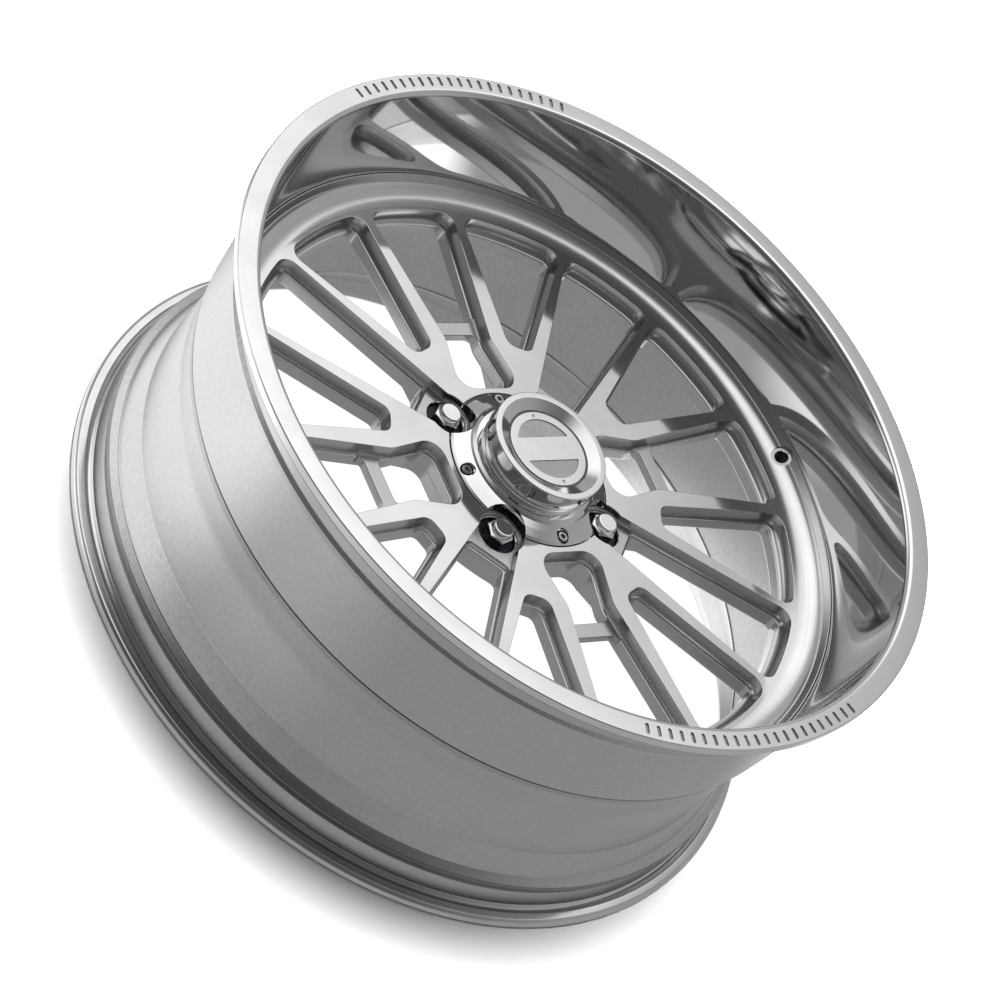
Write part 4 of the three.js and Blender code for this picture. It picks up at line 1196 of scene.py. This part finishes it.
@dataclass
class Fasteners:
    """Lug nuts on their conical seats, and the cap's socket screws."""

    layout: Layout
    finishes: Finishes
    across_flats: float = 21.0
    nut_cap_radius: float = 8.9
    nut_cap_height: float = 5.0
    cone_height: float = 4.2
    stud_radius: float = 6.0
    seat_radius: float = 16.7
    screw_radius: float = 2.5
    screw_head_radius: float = 4.6
    screw_head_height: float = 3.6
    socket_flats: float = 4.0
    row_step: float = 0.3
    corner_ease: float = 0.35
    nut_segments: int = 120
    screw_segments: int = 48

    @staticmethod
    def piece(name: str, centre: np.ndarray, radius: np.ndarray, z: np.ndarray, finishes: list,
              turn: float = 0.0) -> bpy.types.Object:
        """Makes a closed piece from a radius at each row and angle: (r cos a, r sin a, z).

        Args:
            name: The object's name.
            centre: Where its axis stands.
            radius: The radius in each row at each angle, (rows, angles).
            z: The height of each row.
            finishes: The materials, of which the first is used.
            turn: How far the piece is turned about its axis.

        Returns:
            The piece, closed at its two poles.
        """
        rows, segments = radius.shape
        angle = np.linspace(0, 2 * math.pi, segments, endpoint=False) + turn
        grid = np.stack([centre[0] + radius * np.cos(angle), centre[1] + radius * np.sin(angle),
                         np.repeat(z[:, None], segments, 1)], -1)
        faces = grid_faces(rows, segments, False).tolist()
        return merged(new_object(name, grid.reshape(-1, 3), faces, finishes, np.zeros(len(faces), int)))

    def nut(self, number: int, centre: np.ndarray) -> None:
        """A closed nut: the turned outline, held inside a hexagon between its cone and its cap."""
        low, top = self.layout.nut_low_z, self.layout.nut_top_z
        seat, cap = low + self.cone_height, top - self.nut_cap_height
        corner = self.across_flats / math.sqrt(3)
        stud = self.stud_radius
        outline, _ = rounded(np.array([
            (0, low + 10), (stud, low + 10), (stud, low), (stud + 1.5, low),
            (self.across_flats / 2 - 0.3, seat), (corner, seat + 1), (corner, cap - 1.4),
            (self.nut_cap_radius + 0.3, cap), (self.nut_cap_radius, cap + 0.5),
            (self.nut_cap_radius, top), (0, top)]),
            np.array([0, 0, 0.3, 0.3, 0.3, 0.4, 0.6, 0.6, 0.4, 1.3, 0]), 6)
        gaps = np.linalg.norm(np.diff(outline, axis=0), axis=1)
        along = np.concatenate([[0], np.cumsum(gaps)])
        rows = np.unique(np.concatenate([along, np.arange(0, along[-1], self.row_step)]))
        radius, z = np.interp(rows, along, outline[:, 0]), np.interp(rows, along, outline[:, 1])
        angle = np.linspace(0, 2 * math.pi, self.nut_segments, endpoint=False)
        sides = soft_least(radius[:, None], hexagon(angle, self.across_flats)[None, :], self.corner_ease)
        held = np.where((radius > stud + 0.5)[:, None], sides, radius[:, None])
        piece = self.piece(f"wheel_nut_{number}", centre, held, z, self.finishes("chrome"),
                           math.atan2(centre[1], centre[0]))
        fit(shaded(piece, 32), Body.NUT.value.format(number), Slot.CHROME, f"lug_nut_{number}")

    def seat(self, number: int, centre: np.ndarray) -> None:
        """A loose ring with a conical seat for the nut."""
        low, high = node_box(f"lug_seat_{number}")
        bottom, top = float(low[2]), float(high[2])
        inner, outer = self.stud_radius + 1.9, self.across_flats / 2 + 0.1
        piece = turned(f"nut_seat_{number}", Profile([
            (inner, bottom, 0.2, 0), (self.seat_radius, bottom, 0.4, 0), (self.seat_radius, top, 0.8, 0),
            (outer, top, 0.3, 0), (inner, top - self.cone_height, 0.2, 0)], 4),
            self.finishes("seat"), ROUND_SEGMENTS, tuple(centre))
        fit(shaded(piece), Body.WHEEL.value, Slot.SEAT, f"lug_seat_{number}")

    def screw(self, number: int, centre: np.ndarray) -> None:
        """A socket screw: rows of radius and height, and 1 where the row is a hexagon."""
        low = float(node_box(f"cap_screw_{number}")[0][2])
        top = self.layout.screw_top_z
        under = top - self.screw_head_height
        head, socket = self.screw_head_radius, self.socket_flats / 2
        table = np.array([
            (0, low, 0), (self.screw_radius - 0.5, low, 0), (self.screw_radius, low + 0.5, 0),
            (self.screw_radius, under, 0), (head - 0.1, under, 0), (head, under + 0.1, 0),
            (head, top - 0.7, 0), (head - 0.2, top - 0.3, 0), (head - 0.7, top, 0),
            (socket + 0.45, top, 0), (socket + 0.05, top - 0.4, 1), (socket, top - 0.45, 1),
            (socket, top - 2.0, 1), (0, top - 2.2, 1)])
        angle = np.linspace(0, 2 * math.pi, self.screw_segments, endpoint=False)
        radius = table[:, :1] * hexagon(angle, 2.0)[None, :] ** table[:, 2:3]
        piece = self.piece(f"socket_screw_{number}", centre, radius, table[:, 1], self.finishes("screw"))
        fit(shaded(piece), Body.WHEEL.value, Slot.SCREW, f"cap_screw_{number}")

    def build(self) -> None:
        """Makes every nut, seat and screw."""
        lugs = places(self.layout.lug_circle, HALF_STEP)
        screws = places(self.layout.screw_circle, 0)
        for number, (lug, screw) in enumerate(zip(lugs, screws), start=1):
            self.nut(number, lug)
            self.seat(number, lug)
            self.screw(number, screw)


# ---- studio ----
WHITE = (1, 1, 1, 1)


def towards(azimuth: float, elevation: float) -> tuple:
    """The unit vector at an azimuth and an elevation in degrees."""
    azimuth, elevation = math.radians(azimuth), math.radians(elevation)
    flat = math.cos(elevation)
    return (flat * math.cos(azimuth), flat * math.sin(azimuth), math.sin(elevation))


@dataclass(frozen=True)
class SoftBox:
    """A patch of light in the surroundings: its direction, its size and its strength."""

    azimuth: float
    elevation: float
    inner: float
    outer: float
    strength: float

    def axis(self) -> tuple:
        """The unit vector towards its middle."""
        return towards(self.azimuth, self.elevation)


@dataclass(frozen=True)
class FloorCard:
    """A glowing patch painted on the floor that only reflections show: its middle, two radii and strength."""

    middle: tuple
    inner: float
    outer: float
    strength: float


@dataclass
class Studio:
    """The camera, the floor and the light."""

    camera_place: tuple = (-1900.6, -1175.5, 2017.1)
    camera_right: tuple = (0.7591, -0.3801, 0.5284)
    camera_up: tuple = (0.0327, 0.8331, 0.5522)
    camera_forward: tuple = (0.6501, 0.4019, -0.6448)
    lens: float = 129.77
    sensor: float = 36.0
    floor_size: float = 60.0
    floor_grey: tuple = (0.62, 0.62, 0.625, 1)
    # Reflections see the floor as a painted glow of floor_level plus the cards; camera rays see the disc
    # inside glow_edge painted glowing white.
    floor_level: float = 0.36
    glow_edge: tuple = (0.310, 0.305)
    glow_strength: float = 1.05
    key_side: tuple = (44, 81)
    key_away: float = 3.5
    key_size: float = 2.0
    key_energy: float = 640.0
    cards: tuple = (
        FloorCard((-430, 370), 220, 410, 0.80),
        FloorCard((-560, -60), 60, 330, 0.25),
        FloorCard((520, -180), 120, 330, 0.6),
        FloorCard((300, 0), 60, 150, 0.9),
    )
    horizon: float = 0.42
    zenith: float = 0.30
    boxes: tuple = (
        SoftBox(58, 62, 22, 34, 0.85),
        SoftBox(125, 12, 8, 30, 0.9),
    )
    dark_side: SoftBox = SoftBox(211, 30, 40, 95, 0.72)

    def camera(self) -> None:
        """A long lens that looks down on the wheel's face from one side."""
        data = bpy.data.cameras.new("camera")
        data.lens, data.sensor_width = self.lens, self.sensor
        data.clip_end = 200.0
        holder = bpy.data.objects.new("camera", data)
        back = tuple(-v for v in self.camera_forward)
        turn = Matrix((self.camera_right, self.camera_up, back)).transposed()
        holder.matrix_world = Matrix.Translation(Vector(self.camera_place) * MM) @ turn.to_4x4()
        bpy.context.scene.collection.objects.link(holder)
        bpy.context.scene.camera = holder

    def floor(self) -> None:
        """A wide pale floor, white where it is seen through the wheel, where a glowing disc is painted in
        place of the barrel's shade; reflections see a painted dim glow with its glowing cards in place of the
        lit and shaded floor.
        """
        half = self.floor_size / 2
        corners = [(-half, -half, 0), (half, -half, 0), (half, half, 0), (-half, half, 0)]
        mesh = bpy.data.meshes.new("floor")
        mesh.from_pydata(corners, [], [(0, 1, 2, 3)])
        holder = bpy.data.objects.new("floor", mesh)
        bpy.context.scene.collection.objects.link(holder)
        made = bpy.data.materials.new("pale_floor")
        made.use_nodes = True
        made.node_tree.nodes.clear()
        nodes = Nodes(made.node_tree)
        place = nodes.add("ShaderNodeTexCoord").outputs["Object"]
        distance = nodes.vector("LENGTH", place).outputs["Value"]
        inside = nodes.add("ShaderNodeMapRange", inputs={
            "Value": distance, 1: self.glow_edge[0], 2: self.glow_edge[1]})
        diffuse = nodes.add("ShaderNodeBsdfDiffuse", inputs={"Color": self.floor_grey})
        # Painted light: the floor inside the barrel glows white in place of the shade that falls there.
        glow = nodes.add("ShaderNodeEmission", inputs={"Color": WHITE, "Strength": self.glow_strength})
        seen = nodes.add("ShaderNodeMixShader", inputs={
            0: inside.outputs[0], 1: diffuse.outputs[0], 2: glow.outputs[0]})
        cards = self.floor_level
        for card in self.cards:
            middle = tuple(v * MM for v in (*card.middle, 0.0))
            away = nodes.vector("DISTANCE", place, middle).outputs["Value"]
            ramp = nodes.add("ShaderNodeMapRange", interpolation_type="SMOOTHSTEP", inputs={
                "Value": away, 1: card.outer * MM, 2: card.inner * MM, 3: 0.0, 4: card.strength})
            cards = nodes.math("ADD", ramp.outputs[0], cards)
        # Painted light and shade: reflections see this glow, not the lit and shaded floor.
        reflected = nodes.add("ShaderNodeEmission", inputs={"Color": WHITE, "Strength": cards})
        direct = nodes.add("ShaderNodeLightPath").outputs["Is Camera Ray"]
        mix = nodes.add("ShaderNodeMixShader", inputs={
            0: direct, 1: reflected.outputs[0], 2: seen.outputs[0]})
        out = nodes.add("ShaderNodeOutputMaterial")
        nodes.tree.links.new(mix.outputs[0], out.inputs[0])
        mesh.materials.append(made)
        holder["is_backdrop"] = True

    def surroundings(self) -> None:
        """The world: a grey room, light patches, and a dark side behind the camera."""
        world = bpy.data.worlds.new("studio")
        bpy.context.scene.world = world
        world.use_nodes = True
        world.node_tree.nodes.clear()
        nodes = Nodes(world.node_tree)
        direction = nodes.add("ShaderNodeTexCoord").outputs["Generated"]
        height = nodes.add("ShaderNodeSeparateXYZ", inputs={0: direction}).outputs[2]
        room = nodes.add("ShaderNodeMapRange", inputs={
            "Value": height, 1: 0.0, 2: 1.0, 3: self.horizon, 4: self.zenith})
        dark = nodes.math("SUBTRACT", 1.0, self.patch(nodes, direction, self.dark_side))
        total = nodes.math("MULTIPLY", room.outputs[0], dark)
        for box in self.boxes:
            total = nodes.math("ADD", total, self.patch(nodes, direction, box))
        seen = nodes.add("ShaderNodeLightPath").outputs["Is Camera Ray"]
        background = nodes.add("ShaderNodeBackground", inputs={"Color": WHITE, "Strength": total})
        backdrop = nodes.add("ShaderNodeBackground", inputs={"Color": WHITE, "Strength": 1.0})
        mix = nodes.add("ShaderNodeMixShader", inputs={
            0: seen, 1: background.outputs[0], 2: backdrop.outputs[0]})
        out = nodes.add("ShaderNodeOutputWorld")
        nodes.tree.links.new(mix.outputs[0], out.inputs[0])

    @staticmethod
    def patch(nodes: Nodes, direction: bpy.types.NodeSocket, box: SoftBox) -> bpy.types.NodeSocket:
        """A soft round patch: full inside the inner angle, nothing outside the outer one."""
        near = nodes.vector("DOT_PRODUCT", direction, box.axis()).outputs["Value"]
        ramp = nodes.add("ShaderNodeMapRange", interpolation_type="SMOOTHSTEP", inputs={
            "Value": near, 1: math.cos(math.radians(box.outer)), 2: math.cos(math.radians(box.inner)),
            3: 0.0, 4: box.strength})
        return ramp.outputs[0]

    def key(self) -> None:
        """A large light high over the far side, left out of reflections: it whitens the floor."""
        data = bpy.data.lights.new("key", "AREA")
        data.shape = "DISK"
        data.size = self.key_size
        data.energy = self.key_energy
        holder = bpy.data.objects.new("key", data)
        place = Vector(towards(*self.key_side)) * self.key_away
        holder.matrix_world = Matrix.Translation(place) @ place.to_track_quat("Z", "Y").to_matrix().to_4x4()
        holder.visible_glossy = False
        bpy.context.scene.collection.objects.link(holder)

    def build(self) -> None:
        """Sets up the studio."""
        self.camera()
        self.floor()
        self.surroundings()
        self.key()
        bpy.context.scene.view_settings.view_transform = "Standard"


def main() -> None:
    """Builds the studio and every piece in order."""
    logging.basicConfig(level=logging.INFO, format="%(name)s: %(message)s")
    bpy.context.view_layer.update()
    layout = Layout.from_frame()
    LOG.info("face at %.1f mm, flange radius %.1f mm", layout.face_z, layout.flange_radius)
    Studio().build()
    finishes = Finishes()
    for assembly in (Barrel, CentreDisc, HubCap, Fasteners):
        assembly(layout, finishes).build()


if __name__ == "__main__":
    main()
